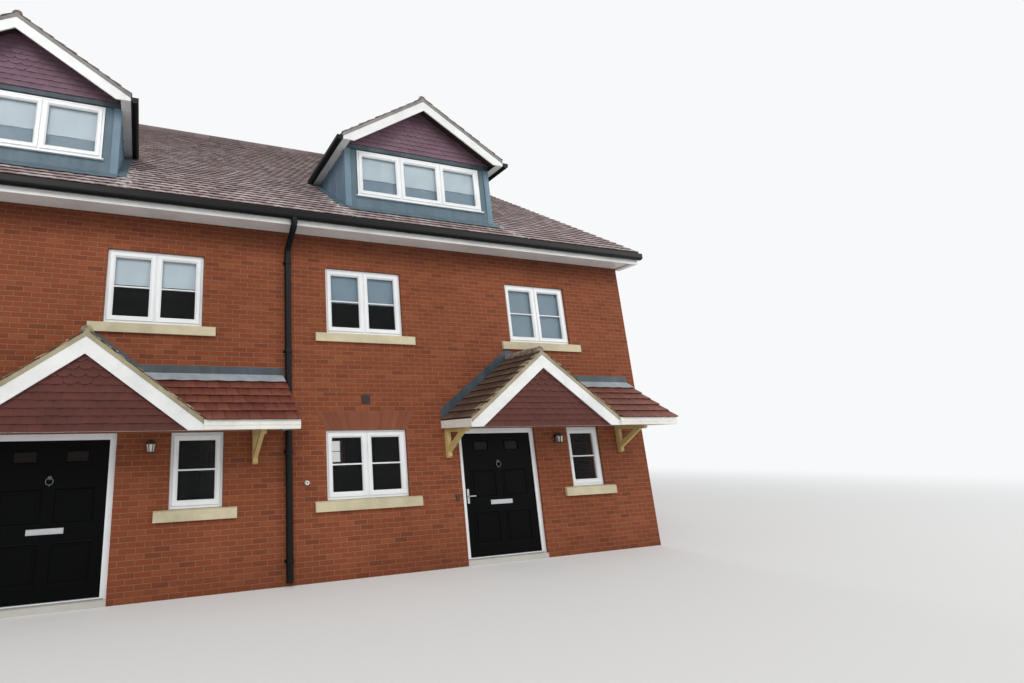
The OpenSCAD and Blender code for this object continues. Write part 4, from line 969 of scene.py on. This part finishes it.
class TERRACE_OT_dormers(bpy.types.Operator):
    """Tiled roofs, hung gables and lead of the dormers"""
    bl_idname = "terrace.dormers"
    bl_label = "Dormers"

    def execute(self, context):
        self.lay_tiles(context.scene.terrace_tiles)
        self.dress_lead(context.scene.terrace_tiles, context.scene.terrace_windows.dormer_z)
        return {"FINISHED"}

    def lay_tiles(self, s):
        """Roof tiles, hung tiles and verge mortar."""
        # Sanded plain tile, as on the main roof
        clay = toned_clay("sanded_dormer_tile", SKY_SHEEN_ROOF_TONES)
        # Hung tile: burnt clay in a dull purple red, drawn paler with a painted glare of the sky
        hung = toned_clay("purple_red_hung_tile", SKY_GLARE_HUNG_TONES)
        dress(clay, "dormer_roof_slopes")
        dress(hung, "dormer_gables")
        ridge_z, front_y = DORMER_ROOF[1][2], DORMER_ROOF[0][1]
        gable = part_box("dormer_gables")
        high = gable[1][2] - gable[0][2]
        wide = high / s.dormer_tan
        slopes, faces, mortar = [], [], []
        for i, middle in enumerate(DORMER_MIDDLES):
            for side, seed in ((-1, 61 + 4 * i), (1, 60 + 4 * i)):
                slopes.append(gable_slope(side, middle, DORMER_ROOF_HALF, front_y - VERGE_OUT, ridge_z,
                                          s.dormer_tan, main_roof_y, seed, 0.5))
            faces.append(hung_gable(middle, wide, high, gable[0][1:], s.dormer_tan, 70 + i, 0.45, wide))
            mortar.append(verge_strip(middle, DORMER_ROOF_HALF, front_y, ridge_z, s.dormer_tan))
        laid("dormer_roof_tiles", slopes, clay, "roof_tile")
        laid("dormer_hung_tiles", faces, hung, "hung_tile")
        # Verge mortar: sand and cement struck off by hand, grey, rough and dirty
        rough = plain_finish("grey_verge_mortar", "#8E8A88", 0.95, 60.0, 0.004, 0.2)
        piece("dormer_verge_mortar", joined(mortar), rough, "roof_tile")

    def dress_lead(self, s, sill_z):
        """Lead on the front, the corners and the cheeks, dressed down over the tiles."""
        # Milled lead: soft rolled sheet, dull blue-grey, with paler salts where rain runs off
        lead = milled_lead("milled_lead_sheet", "#4C606B", "#617480")
        # Lead drawn dark with painted shade, where it lies in the shade of a roof
        dark = milled_lead("milled_lead_in_shade", "#343D44", "#4E5961")
        # Lead on the cheeks is drawn paler, and on the corners paler still
        cheek = milled_lead("pale_cheek_lead", "#5F7687", "#708696")
        pale = milled_lead("pale_milled_lead", "#5E7784", "#73899A")
        dress(lead, "dormer_fronts")
        dress(cheek, "dormer_cheeks")
        dress(dark, "lead_flashings")
        edge, face_y, plate_z = DORMER_HALF, DORMER[0][1], DORMER[1][2]
        slant = math.hypot(1, s.roof_tan)
        # Lead that is dressed over the tiles lies this high above their plane, and is 6 mm thick with its
        # turned edge
        lift, thick = 0.032, (0, 0, -0.006)
        foot_z = main_roof_z(face_y)
        # A corner board of bent lead wraps each front edge of the dormer, and its foot is dressed over the
        # tiles
        bend = [(-0.105, -0.016), (0.012, -0.016), (0.012, 0.12), (-0.001, 0.12), (-0.001, -0.002),
                (-0.105, -0.002)]
        plan = [(edge + out, face_y + back) for out, back in bend]
        corner = post(plan, foot_z + 0.02, plate_z - (foot_z + 0.02) - 0.005)
        # The apron runs from the window's foot down over the tiles, and its free edge ripples as a sum of
        # two sines
        x = np.linspace(-edge - 0.02, edge + 0.02, 64)[None, :]
        v = np.linspace(0, 1, 7)[:, None]
        apron_y = face_y - 0.006 - 0.21 * v + 0 * x
        ripple = 0.004 * np.sin(x * 23) * v + 0.003 * np.sin(x * 61 + 1) * v
        apron_z = main_roof_z(apron_y) + lift * slant + ripple
        low = slab(np.stack([x + 0 * v, apron_y, apron_z], -1), thick)
        section = [(face_y, foot_z + lift), (face_y - 0.012, foot_z + lift - 0.01),
                   (face_y - 0.010, sill_z), (face_y, sill_z)]
        front = rail(section, -edge, 2 * edge)
        # A band of lead closes the front over the window's head, drawn dark with painted shade under the hung
        # tiles
        section = [(face_y, plate_z - 0.085), (face_y - 0.03, plate_z - 0.075),
                   (face_y - 0.045, plate_z + 0.004), (face_y, plate_z + 0.004)]
        band = rail(section, -edge, 2 * edge)
        # Beside each cheek a strip of lead lies over the tiles, and standing seams run up the cheek
        side_y = np.linspace(face_y - 0.05, main_roof_y(plate_z) + 0.1, 40)[:, None]
        side_x = edge + np.linspace(0.0, 0.15, 5)[None, :] + 0.004 * np.sin(side_y * 17)
        loose = 0.003 * np.sin(side_y * 31) * (side_x > edge + 0.1)
        side_z = main_roof_z(side_y) + lift * slant + 0 * side_x + loose
        strip = slab(np.stack([side_x, side_y + 0 * side_x, side_z], -1), thick)
        seams = []
        for y in np.arange(face_y + 0.45, side_y[-1, 0] - 0.15, 0.4):
            plan = [(edge - 0.002, y - 0.009), (edge + 0.012, y - 0.006), (edge + 0.012, y + 0.006),
                    (edge - 0.002, y + 0.009)]
            seams.append(post(plan, main_roof_z(y) + 0.02, plate_z - main_roof_z(y) - 0.03))
        piece("dormer_corner_lead", on_each(DORMER_MIDDLES, mirrored(corner)), pale, "lead")
        piece("dormer_apron_lead", on_each(DORMER_MIDDLES, joined([low, front])), lead, "lead", smooth=True)
        piece("dormer_head_lead", on_each(DORMER_MIDDLES, band), dark, "lead")
        piece("dormer_side_lead", on_each(DORMER_MIDDLES, mirrored(strip)), lead, "lead", smooth=True)
        piece("dormer_cheek_seams", on_each(DORMER_MIDDLES, mirrored(joined(seams))), cheek, "lead")


class TERRACE_OT_porches(bpy.types.Operator):
    """Tiles, hung gables, lead and boards of the porches"""
    bl_idname = "terrace.porches"
    bl_label = "Porches"

    def execute(self, context):
        self.lay_tiles(context.scene.terrace_tiles)
        self.add_boards_and_lead(context.scene.terrace_tiles)
        # Stained softwood: planed posts and struts under an old buff wood stain, with the grain showing
        dress(plain_finish("buff_stained_softwood", "#BFA86E", 0.7, 40.0, 0.001, 0.12), "porch_brackets")
        return {"FINISHED"}

    def lay_tiles(self, s):
        """Tiles on the gable slopes and the lean-tos, hung tiles and verge mortar."""
        # Porch tile: sanded clay, brown with moss and crusted with lichen, and drawn darker with painted shade
        mossy = toned_clay("mossy_brown_porch_tile", MOSSY_SHADED_TONES, crust="#B9AD8E")
        # Lean-to tile: newer, smoother clay in a clean red
        clay = toned_clay("red_smooth_lean_to_tile", LEAN_TONES, roughness=0.6)
        # Hung tile: smooth burnt clay in a deep brown red
        hung = toned_clay("brown_red_hung_tile", HUNG_TONES)
        dress(mossy, "porch_gable_slopes")
        dress(clay, "porch_lean_tos")
        dress(hung, "porch_gables")
        ridge_z, front_y, lean_top = PORCH_ROOF[1][2], PORCH_ROOF[0][1], LEAN[1][2]
        slant = math.hypot(1, s.lean_tan)
        edge_y = LEAN[0][1] - 0.03
        edge_z = lean_top + s.lean_tan * (edge_y - FRONT_Y)
        end = LEAN[1][0] - LINES[1]
        high = PORCH[1][2] - PORCH[0][2]
        wide = high / s.porch_tan
        # The lean-to's bank starts this far left of the gable's edge, and the valley cuts it
        behind = 1.2

        def left_back(z):
            """The left slope runs back to the wall at every height."""
            return FRONT_Y + 0 * z

        def right_back(z):
            """The right slope ends in the valley where the lean-to's plane meets it."""
            return np.minimum(FRONT_Y, FRONT_Y - (lean_top - z) / s.lean_tan)

        def lean_span(v):
            """A course starts in the valley, where the gable's right slope has its height, and never ends."""
            z = edge_z + v * s.lean_tan / slant
            return (ridge_z - z) / s.porch_tan - PORCH_IN + behind, 0 * v + 9.0

        lean_up = np.array([0, 1, s.lean_tan]) / slant
        slopes, faces, leans, mortar = [], [], [], []
        for i, (line, middle) in enumerate(zip(LINES, PORCH_MIDDLES)):
            for side, back, seed in ((-1, left_back, 81 + 4 * i), (1, right_back, 82 + 4 * i)):
                slopes.append(gable_slope(side, middle, PORCH_HALF, front_y - VERGE_OUT, ridge_z,
                                          s.porch_tan, back, seed, 1.0))
            faces.append(hung_gable(middle, wide, high, PORCH[0][1:], s.porch_tan, 90 + i, 0.62, PORCH_IN))
            x0 = middle + PORCH_IN
            width, height = line + end - x0 + behind + 0.005, (FRONT_Y - edge_y) * slant - 0.02
            leans.append(tile_bank((x0 - behind, edge_y, edge_z), (1, 0, 0), lean_up, width, height, 96 + i,
                                   span=lean_span))
            mortar.append(verge_strip(middle, PORCH_HALF, front_y, ridge_z, s.porch_tan))
        laid("porch_gable_tiles", slopes, mossy, "roof_tile")
        laid("porch_hung_tiles", faces, hung, "hung_tile")
        laid("porch_lean_to_tiles", leans, clay, "roof_tile")
        # Verge mortar under lichen: rough sand and cement gone yellow-green
        rough = plain_finish("lichened_verge_mortar", "#A69C80", 0.95, 60.0, 0.004, 0.2)
        piece("porch_verge_mortar", joined(mortar), rough, "roof_tile")

    def add_boards_and_lead(self, s):
        """Boards along the eaves, and the strip of lead over the lean-to."""
        ridge_z, lean_top, end = PORCH_ROOF[1][2], LEAN[1][2], LEAN[1][0] - LINES[1]
        # A moulded board closes the lean-to's eaves, and a plain one the eaves on the gable's other side
        board_y, low_z, left = LEAN[0][1], PORCH[0][2], PORCH_MIDDLES[0] + PORCH_HALF - 0.01
        moulding = [(0.05, 0.002), (0.0, 0.002), (-0.002, 0.03), (-0.004, 0.05), (-0.010, 0.058),
                    (-0.010, 0.070), (-0.004, 0.076), (-0.004, 0.128), (0.0, 0.132), (0.05, 0.132)]
        eaves = rail([(board_y + out, low_z + up) for out, up in moulding], left, end + 0.002 - left)
        x = PORCH_MIDDLES[0] - PORCH_HALF
        side = box_mesh((x - 0.008, PORCH_ROOF[0][1] - 0.018, low_z + 0.002),
                        (x + 0.012, FRONT_Y, low_z + 0.128))
        # Moulded eaves board: white foamed plastic with a satin skin, gone cream with dust
        cream = plain_finish("white_moulded_eaves_board", "#E9E7DF", 0.4, stain=0.1)
        piece("porch_eaves_boards", on_each(LINES, joined([eaves, side])), cream, "white_board")
        # A strip of lead is dressed down over the top course of the lean-to, and its edge ripples as a sine
        lift = 0.033 * math.hypot(1, s.lean_tan)
        valley = PORCH_MIDDLES[0] + (ridge_z - lean_top) / s.porch_tan
        x = np.linspace(valley, end - 0.01, 90)[None, :]
        v = np.linspace(0, 1, 6)[:, None]
        y = FRONT_Y - 0.003 - 0.15 * v + 0 * x
        z = lean_top + s.lean_tan * (y - FRONT_Y) + lift + 0.004 * np.sin(x * 19) * v
        apron = slab(np.stack([x + 0 * v, y, z], -1), (0, 0, -0.006))
        # Weathered lead: the same soft sheet, bleached almost white by rain off the wall
        bleached = milled_lead("weathered_lead_strip", "#868E93", "#A4ABAF")
        piece("porch_apron_lead", on_each(LINES, apron), bleached, "lead", smooth=True)


# Window profiles as (inwards, outwards) points from the edge that they follow
SASH = [(-0.047, -0.002), (-0.047, 0.012), (-0.042, 0.018), (0.004, 0.018), (0.010, 0.012), (0.026, 0.0),
        (0.028, -0.023), (-0.004, -0.023)]
FRAME_EDGE = [(0.0, -0.004), (0.0, 0.003), (0.010, 0.006), (0.024, 0.006), (0.030, 0.002), (0.030, -0.004)]
SEAL = [(-0.001, -0.03), (-0.001, 0.006), (0.004, 0.006), (0.004, -0.03)]
# The nose of a dormer's sill as (back, up) points from the foot of the frame's face
SILL_NOSE = [(0.006, 0.004), (-0.018, 0.004), (-0.042, -0.006), (-0.046, -0.012), (-0.046, -0.028),
             (0.004, -0.028)]


class TERRACE_OT_windows(bpy.types.Operator):
    """Sashes, glazing bars, glass and blinds"""
    bl_idname = "terrace.windows"
    bl_label = "Windows"

    def execute(self, context):
        self.add_frames(context.scene.terrace_windows)
        self.hang_blinds(context.scene.terrace_windows)
        return {"FINISHED"}

    def add_frames(self, s):
        """Everything of the windows that is rigid."""
        # Extruded white vinyl: a smooth satin skin that stays clean but for dust in soft patches
        white = plain_finish("white_vinyl_frame", "#E6E8E9", 0.3, stain=0.05)
        dress(white, "dormer_window_frames", "ground_window_frames", "first_window_frames",
              "rear_window_frames", "door_frames")
        # Float glass in sealed units: clear, with a mirror of the sky on a dark room
        dress(float_glass("clear_float_glass", "#20282C", 0.12), "window_glass")
        sashes, frames, bars, seals = [], [], [], []
        half = s.bar / 2
        bar = [(-0.004, -half), (0.008, -half), (0.015, -half * 0.5), (0.015, half * 0.5), (0.008, half),
               (-0.004, half)]
        for window in windows(s):
            outside = window[:4]
            frames.append(rect_ring(*outside, window.y, window.facing, FRAME_EDGE))
            seals.append(rect_ring(*outside, window.y, window.facing, SEAL))
            for x0, x1, z0, z1 in lights_of(s, window):
                sashes.append(rect_ring(x0, x1, z0, z1, window.y, window.facing, SASH))
                # The dormers' three lights have no glazing bar
                if window.lights < 3:
                    middle, face = (z0 + z1) / 2, window.y + window.facing * -0.022
                    section = [(face + window.facing * out, middle + up) for out, up in bar]
                    bars.append(rail(section, x0 - 0.002, x1 - x0 + 0.004))
        piece("window_sashes", on_each(LINES, joined(sashes)), white, "white_frame")
        piece("window_frame_edges", on_each(LINES, joined(frames)), white, "white_frame")
        piece("window_glazing_bars", on_each(LINES, joined(bars)), white, "white_frame")
        # Silicone seal: a thin dull line of grey rubber round each frame
        rubber = plain_finish("grey_silicone_seal", "#5E5A57", 0.6)
        piece("window_seals", on_each(LINES, joined(seals)), rubber, "brown_plastic")
        # A thin white sill stands out under each dormer window
        window = windows(s)[DORMER_WINDOW]
        nose = [(window.y + out, window.foot + up) for out, up in SILL_NOSE]
        sill = rail(nose, window.left - 0.03, window.right - window.left + 0.06)
        piece("dormer_window_sills", on_each(LINES, sill), white, "white_frame")

    def hang_blinds(self, s):
        """Roller blinds close behind the glass of the dormers and of some lights below. A blind's cloth is
        a plane that three half waves of a sine bend more towards its foot."""
        # Roller blind cloth: plain woven, matt and nearly white
        cloth = woven_cloth("white_blind_cloth", "#DDEEF7")
        # Net curtain: a thin open weave, which looks grey-blue before a dark room
        net = woven_cloth("grey_blue_net_cloth", "#93ABBA")
        spec = windows(s)
        # How much of each light the blinds cover, in the left house and in the right one
        rows = [(DORMER_WINDOW, "dormer_window_frames", ((0.66, 0.62, 0.68), (0.62, 0.66, 0.60))),
                (FIRST_LEFT, "first_window_frames", ((0.40, 0.40), (0.52, 0.52))),
                (FIRST_RIGHT, "first_window_frames", ((0.46, 0.46), (0.97, 0.97)))]
        thick = (0, 0.0015, 0)
        b = np.linspace(0, 1, 9)[:, None]
        for index, carrier, drops in rows:
            floor = carrier.split("_")[0]
            for i, line in enumerate(LINES):
                stuff = net if i and floor == "first" else cloth
                for j, (x0, x1, z0, z1) in enumerate(lights_of(s, spec[index])):
                    drop = (z1 - z0) * drops[i][j]
                    a = np.linspace(x0 + 0.003, x1 - 0.003, 14)[None, :]
                    y = spec[index].y + 0.054 + 0.003 * np.sin(3 * math.pi * (a - x0) / (x1 - x0)) * b
                    grid = np.stack([a + line + 0 * b, y, z1 - 0.002 - drop * b + 0 * a], -1)
                    end = f"_{index}_{i + 1}_{j + 1}"
                    blind = piece(floor + "_blind" + end, slab(grid, thick), stuff, "white_board",
                                  smooth=True)
                    if index == DORMER_WINDOW:
                        # Net curtain fills what a dormer's blind leaves open
                        rest = z1 - z0 - 0.006
                        y = y + 0.012 + 0.002 * np.sin(a * 90)
                        grid = np.stack([a + line + 0 * b, y, z1 - 0.003 - rest * b + 0 * a], -1)
                        sheer = piece(floor + "_net" + end, slab(grid, thick), net, "white_board",
                                      smooth=True)


# Door profiles as (inwards, outwards) points from the edge that they follow: the moulding round a panel,
# the raised field inside it, and the bead round a small light
PANEL = [(-0.016, -0.001), (-0.016, 0.004), (-0.010, 0.007), (-0.002, 0.005), (0.006, -0.003),
         (0.010, -0.0085), (-0.004, -0.0085)]
FIELD = [(-0.012, -0.006), (-0.004, 0.001), (0.010, 0.001), (0.010, -0.006)]
BEAD = [(-0.020, -0.001), (-0.020, 0.006), (-0.013, 0.010), (-0.004, 0.009), (0.005, 0.002), (0.005, -0.012),
        (-0.003, -0.012)]
# The bar on the threshold as (back from the wall's face, height)
THRESHOLD = [(0.045, 0.075), (0.045, 0.088), (0.060, 0.1045), (0.066, 0.1065), (0.068, 0.1045),
             (0.068, 0.076)]
# Turned profiles as (radius, distance): the boss that carries a knocker's ring, and the stud that it strikes
BOSS = [(0.004, 0), (0.012, 0.002), (0.016, 0.010), (0.018, 0.024), (0.026, 0.028)]
STUD = [(0.004, 0), (0.010, 0.002), (0.012, 0.008)]


class TERRACE_OT_doors(bpy.types.Operator):
    """Mouldings, beads and fittings of the two front doors"""
    bl_idname = "terrace.doors"
    bl_label = "Doors"

    def execute(self, context):
        s = context.scene.terrace_doors
        # Gloss paint on a pressed panel door: near black, with a soft coat of shine
        black = plain_finish("black_gloss_paint", "#040505", 0.45, 30.0, 0.0002, specular=0.06)
        # Satin stainless steel: brushed, so bright but with no clear mirror
        steel = plain_finish("satin_stainless_steel", "#C4C6C8", 0.32, 300.0, 0.0002, metallic=1.0)
        # Nickel drawn dull and dark with painted shade, as the polished ring hangs in the porch's shade
        shaded_nickel = plain_finish("nickel_in_painted_shade", "#75767A", 0.42, 200.0, 0.0003, metallic=1.0)
        # Obscure glass: rolled with a deep close ripple that blurs what stands behind it
        obscure = float_glass("obscure_rolled_glass", "#150F0C", 0.97, 0.3, 0.002, 60.0, 0.12)
        dress(obscure, "left_door_lights", "right_door_lights")
        dress(black, "left_door", "right_door")
        dress(steel, "left_door_furniture", "right_door_furniture", "door_hinges")
        face = FRONT_Y + s.back
        for body, line in zip(("left_door", "right_door"), LINES):
            middle = line - s.middle
            piece(body + "_mouldings", self.mouldings(s, middle, face), black, "door_paint", body)
            # A knocker's ring hangs from a boss and strikes a stud
            boss_z, radius = s.foot + 1.50, 0.045
            ring = [hoop((middle, face - 0.016, boss_z - radius), radius, 0.006),
                    turned((middle, face - 0.028, boss_z), BOSS),
                    turned((middle, face - 0.008, boss_z - 0.095), STUD)]
            piece(body + "_ring_knocker", joined(ring), shaded_nickel, "door_steel", body, smooth=True)
        # A bar on the threshold slopes out from the leaf's foot to the step
        left, right = -s.middle - 0.76, -s.middle + 0.76
        bar = rail([(FRONT_Y + back, z) for back, z in THRESHOLD], left, right - left)
        # Mill-finish aluminium: pale dull metal with a fine drawn grain
        mill = plain_finish("mill_aluminium_threshold", "#A8A9AA", 0.4, 200.0, 0.0003, metallic=1.0)
        piece("door_threshold_bars", on_each(LINES, bar), mill, "door_steel")
        return {"FINISHED"}

    def mouldings(self, s, middle, face):
        """Mouldings round four panels, beads round two small lights, and the panels that close their
        openings below."""
        # A panel is a third of the leaf wide, and the lights' heads stand 0.15 m below the leaf's
        wide, half = s.wide * 0.33, s.light_w / 2
        top = s.foot + s.high - 0.15
        # From a panel's edge to its raised field, and how far the closing panels lap their opening
        inset, lap = 0.052, 0.001
        rings = []
        for side in (-1, 1):
            x = middle + side * s.wide * 0.22
            for low, high in ((0.2, 0.68), (0.93, 1.35)):
                left, right, foot, head = x - wide / 2, x + wide / 2, s.foot + low, s.foot + high
                rings.append(rect_ring(left, right, foot, head, face, -1, PANEL))
                rings.append(rect_ring(left + inset, right - inset, foot + inset, head - inset,
                                       face + 0.002, -1, FIELD))
            rings.append(rect_ring(x - half, x + half, top - s.light_h, top, face, -1, BEAD))
            for y in (face - 0.001, face + 0.0355):
                rings.append(box_mesh((x - half - lap, y, top - s.light_open - lap),
                                      (x + half + lap, y + 0.0095, top - s.light_h)))
        return joined(rings)


class TERRACE_OT_boards(bpy.types.Operator):
    """White boards of the roofline"""
    bl_idname = "terrace.boards"
    bl_label = "Boards"

    def execute(self, context):
        # Foamed white roofline board: a smooth satin skin that has greyed in patches under the eaves
        dress(plain_finish("white_roofline_board", "#E2E3E1", 0.35, stain=0.08), "verge_boards", "fascias",
              "soffits", "dormer_barge_boards", "porch_barge_boards", "porch_soffits")
        # Painted board: brushed cream paint, duller than the plastic boards
        dress(plain_finish("cream_painted_board", "#D5D1C6", 0.45, stain=0.12), "porch_fascias")
        return {"FINISHED"}


class TERRACE_OT_rainwater(bpy.types.Operator):
    """Gutters with their clips, and downpipes"""
    bl_idname = "terrace.rainwater"
    bl_label = "Gutters and pipes"

    def execute(self, context):
        # Extruded black vinyl: dense black with a satin shine
        pipe = plain_finish("black_vinyl_pipe", "#090B0D", 0.45, 25.0, 0.0003, specular=0.2)
        dress(pipe, "gutters")
        x0, x1 = EAVES[0][0], EAVES[1][0]
        # The middle of the front gutter and the height of its rim
        yc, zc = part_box("fascias")[0][1] - 0.0585, main_roof_z(EAVES[0][1]) - 0.06
        self.add_eaves_gutters(pipe, x0, x1, yc, zc)
        self.add_dormer_gutters(pipe)
        self.add_downpipes(pipe, yc, zc)
        self.add_clips(pipe, x0, x1, yc, zc)
        return {"FINISHED"}

    def add_eaves_gutters(self, pipe, x0, x1, yc, zc):
        """Deep-flow gutter: a U of half an ellipse below straight sides, with a rolled lip, carried along
        both eaves round the CAD's own."""
        a = np.linspace(math.pi, 2 * math.pi, 13)
        bore, bowl = GUTTER_HALF - GUTTER_WALL, GUTTER_BOWL - GUTTER_WALL
        outer = np.stack([GUTTER_HALF * np.cos(a), GUTTER_BOWL * np.sin(a) - GUTTER_DROP], -1)
        inner = np.stack([bore * np.cos(a), bowl * np.sin(a) - GUTTER_DROP], -1)[::-1]
        lip = [(-bore, 0.004), (-0.0545, 0.006), (-0.0545, 0.012)]
        section = [(-GUTTER_HALF, 0.012), *outer, (bore, 0.0), (0.0555, 0.0), *inner, *lip]
        runs = [rail([(facing * (yc + b), zc + c) for b, c in section], x0, x1 - x0) for facing in (1, -1)]
        piece("deep_flow_gutters", joined(runs), pipe, "black_pipe")

    def add_dormer_gutters(self, pipe):
        """The same gutter, smaller, along both eaves of each dormer, stopped at its front and scribed to
        the main roof."""
        top_z, front_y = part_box("gutters")[1][2] + 0.002, DORMER_ROOF[0][1] - 0.034
        radius, thick = 0.058, 0.004
        a = np.linspace(math.pi, 2 * math.pi, 11)
        arc = np.stack([np.cos(a), np.sin(a)], -1)
        outer, inner = radius * arc - [0, 0.045], (radius - thick) * arc[::-1] - [0, 0.045]
        outside = [(-radius, 0.0), *outer, (radius, 0.0)]
        channel = [*outside, (radius - thick, 0.0), *inner, (-radius + thick, 0.0)]
        foot = np.array([DORMER_ROOF_HALF + radius, front_y, top_z])
        back_y = main_roof_y(top_z - 0.1)
        runs = [carried([foot + (b, 0, c) for b, c in outline], (0, deep, 0))
                for outline, deep in ((channel, back_y - front_y), (outside, thick))]
        piece("dormer_deep_gutters", on_each(DORMER_MIDDLES, mirrored(joined(runs))), pipe, "black_pipe")

    def add_downpipes(self, pipe, yc, zc):
        """Downpipe: a round pipe carried down from the gutter, back under the soffit and down the wall,
        with collars and brackets. The same one stands on the rear wall."""
        low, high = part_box("downpipes")
        x, radius = (low[0] + high[0]) / 2 + 0.004, 0.052
        wall_y = FRONT_Y - 0.004 - radius
        neck, elbow = np.array([x, yc, 5.372]), np.array([x, wall_y, 5.105])
        bends = [rounded(neck + 0.1 * UP, neck, neck + 0.2 * (elbow - neck)),
                 rounded(elbow + 0.2 * (neck - elbow), elbow, elbow - 0.1 * UP)]
        parts = [tube(np.vstack([[x, yc, zc - 0.09], *bends, [x, wall_y, 0.06]]), radius)]
        collar = [(0.049, 0), (0.059, 0.002), (0.061, 0.012), (0.061, 0.048), (0.059, 0.058), (0.049, 0.06)]
        bracket = [(x - 0.07, FRONT_Y - 0.001), (x - 0.062, FRONT_Y - 0.012), (x + 0.062, FRONT_Y - 0.012),
                   (x + 0.07, FRONT_Y - 0.001)]
        for share in (0.06, 0.36, 0.66, 0.95):
            z = elbow[2] * share
            parts.append(turned((x, wall_y, z), collar, "Z"))
            parts.append(post(bracket, z + 0.012, 0.036))
        points, faces = joined(parts)
        both = joined([(points, faces), (points * np.array([1, -1, 1]), faces)])
        piece("black_downpipes", both, pipe, "black_pipe", smooth=True, replaces=("downpipes",))

    def add_clips(self, pipe, x0, x1, yc, zc):
        """Union clips wrap the gutter where two lengths meet: the gutter's half ellipse, a little larger,
        with rounded edges across."""
        a = np.linspace(math.pi, 2 * math.pi, 15)[:, None]
        r = np.array([1.01, 1.05, 1.05, 1.01])[None]
        across = np.array([-0.02, -0.016, 0.016, 0.02])[None]
        clips = []
        for x in np.arange(x0 + 0.9, x1 - 0.2, 0.9):
            for facing in (1, -1):
                y = facing * (yc + GUTTER_HALF * r * np.cos(a))
                z = zc - GUTTER_DROP + GUTTER_BOWL * r * np.sin(a)
                clips.append(slab(np.stack([x + across + 0 * a, y, z], -1), (0, 0, 0.0035)))
        piece("gutter_clips", joined(clips), pipe, "black_pipe", smooth=True)


class TERRACE_OT_fittings(bpy.types.Operator):
    """Lanterns and small wall fittings"""
    bl_idname = "terrace.fittings"
    bl_label = "Wall fittings"

    def execute(self, context):
        # Coated wrought metal: black, with the fine grain of a powder coat
        dress(plain_finish("black_coated_metal", "#131416", 0.4, 120.0, 0.0004), "wall_lanterns")
        # Lantern pane: the glass drawn pale and matt, a painted reflection of the day's sky
        pane = plain_finish("lantern_pane_painted_reflection", "#D8D5C8", 0.5)
        piece("lantern_panes", on_each(LINES, self.panes()), pane, "glass")
        # Moulded cover: brown plastic, dull and even
        dress(plain_finish("brown_moulded_cover", "#35241E", 0.6), "wall_fittings")
        # The overflow ends in a white flap cover with a small hole
        centre = (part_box("wall_fittings")[0][0] + 0.011, FRONT_Y - 0.06, 1.405)
        cover = [(0.004, 0.012), (0.010, 0.012), (0.012, 0.0), (0.032, 0.0), (0.034, 0.004), (0.034, 0.059),
                 (0.004, 0.059)]
        # Moulded white vinyl: satin, and greyer than the frames
        vinyl = plain_finish("white_overflow_vinyl", "#DADAD6", 0.4)
        pipes = on_each(LINES, turned(centre, cover))
        piece("white_overflow_pipes", pipes, vinyl, "white_frame", smooth=True)
        return {"FINISHED"}

    def panes(self):
        """Six panes of a lantern that widens upwards: the middle of a side of a hexagon whose radius grows
        with height, less the width of the bars."""
        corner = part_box("wall_lanterns")[0]
        # The middle of the lantern's foot, its radius there, how much it widens, and over what height
        centre = np.array([corner[0] + 0.074, corner[1] + 0.064, 1.905])
        narrow, widening, height = 0.042, 0.020, 0.125
        panes = []
        for k in range(6):
            a = math.radians(30 + 60 * k)
            out, side = np.array([math.cos(a), math.sin(a), 0]), np.array([-math.sin(a), math.cos(a), 0])
            outline = []
            for way, high in ((-1, 0.012), (1, 0.012), (1, 0.113), (-1, 0.113)):
                r = narrow + widening * high / height
                across = side * way * (r * 0.5 - 0.009)
                outline.append(centre + out * r * math.cos(math.pi / 6) + across + UP * high)
            panes.append(carried(outline, out * 0.002))
        return joined(panes)


class TERRACE_PT_panel(bpy.types.Panel):
    """Lists the steps that dress the row"""
    bl_label = "Terrace"
    bl_idname = "TERRACE_PT_panel"
    bl_space_type = "VIEW_3D"
    bl_region_type = "UI"
    bl_category = "Terrace"

    def draw(self, context):
        for operator in OPERATORS:
            self.layout.operator(operator.bl_idname)


GROUPS = {
    "terrace_bricks": BrickSizes,
    "terrace_tiles": TileSizes,
    "terrace_windows": WindowSizes,
    "terrace_doors": DoorSizes,
    "terrace_camera": CameraPlace,
}
OPERATORS = [
    TERRACE_OT_stage, TERRACE_OT_brickwork, TERRACE_OT_main_roof, TERRACE_OT_dormers, TERRACE_OT_porches,
    TERRACE_OT_windows, TERRACE_OT_doors, TERRACE_OT_boards, TERRACE_OT_rainwater, TERRACE_OT_fittings]


def register():
    for cls in (*GROUPS.values(), *OPERATORS, TERRACE_PT_panel):
        bpy.utils.register_class(cls)
    for name, group in GROUPS.items():
        setattr(bpy.types.Scene, name, bpy.props.PointerProperty(type=group))


def unregister():
    for name in GROUPS:
        delattr(bpy.types.Scene, name)
    for cls in (TERRACE_PT_panel, *reversed(OPERATORS), *reversed(GROUPS.values())):
        bpy.utils.unregister_class(cls)


def main():
    register()
    for operator in OPERATORS:
        group, name = operator.bl_idname.split(".")
        getattr(getattr(bpy.ops, group), name)()


if __name__ == "__main__":
    main()
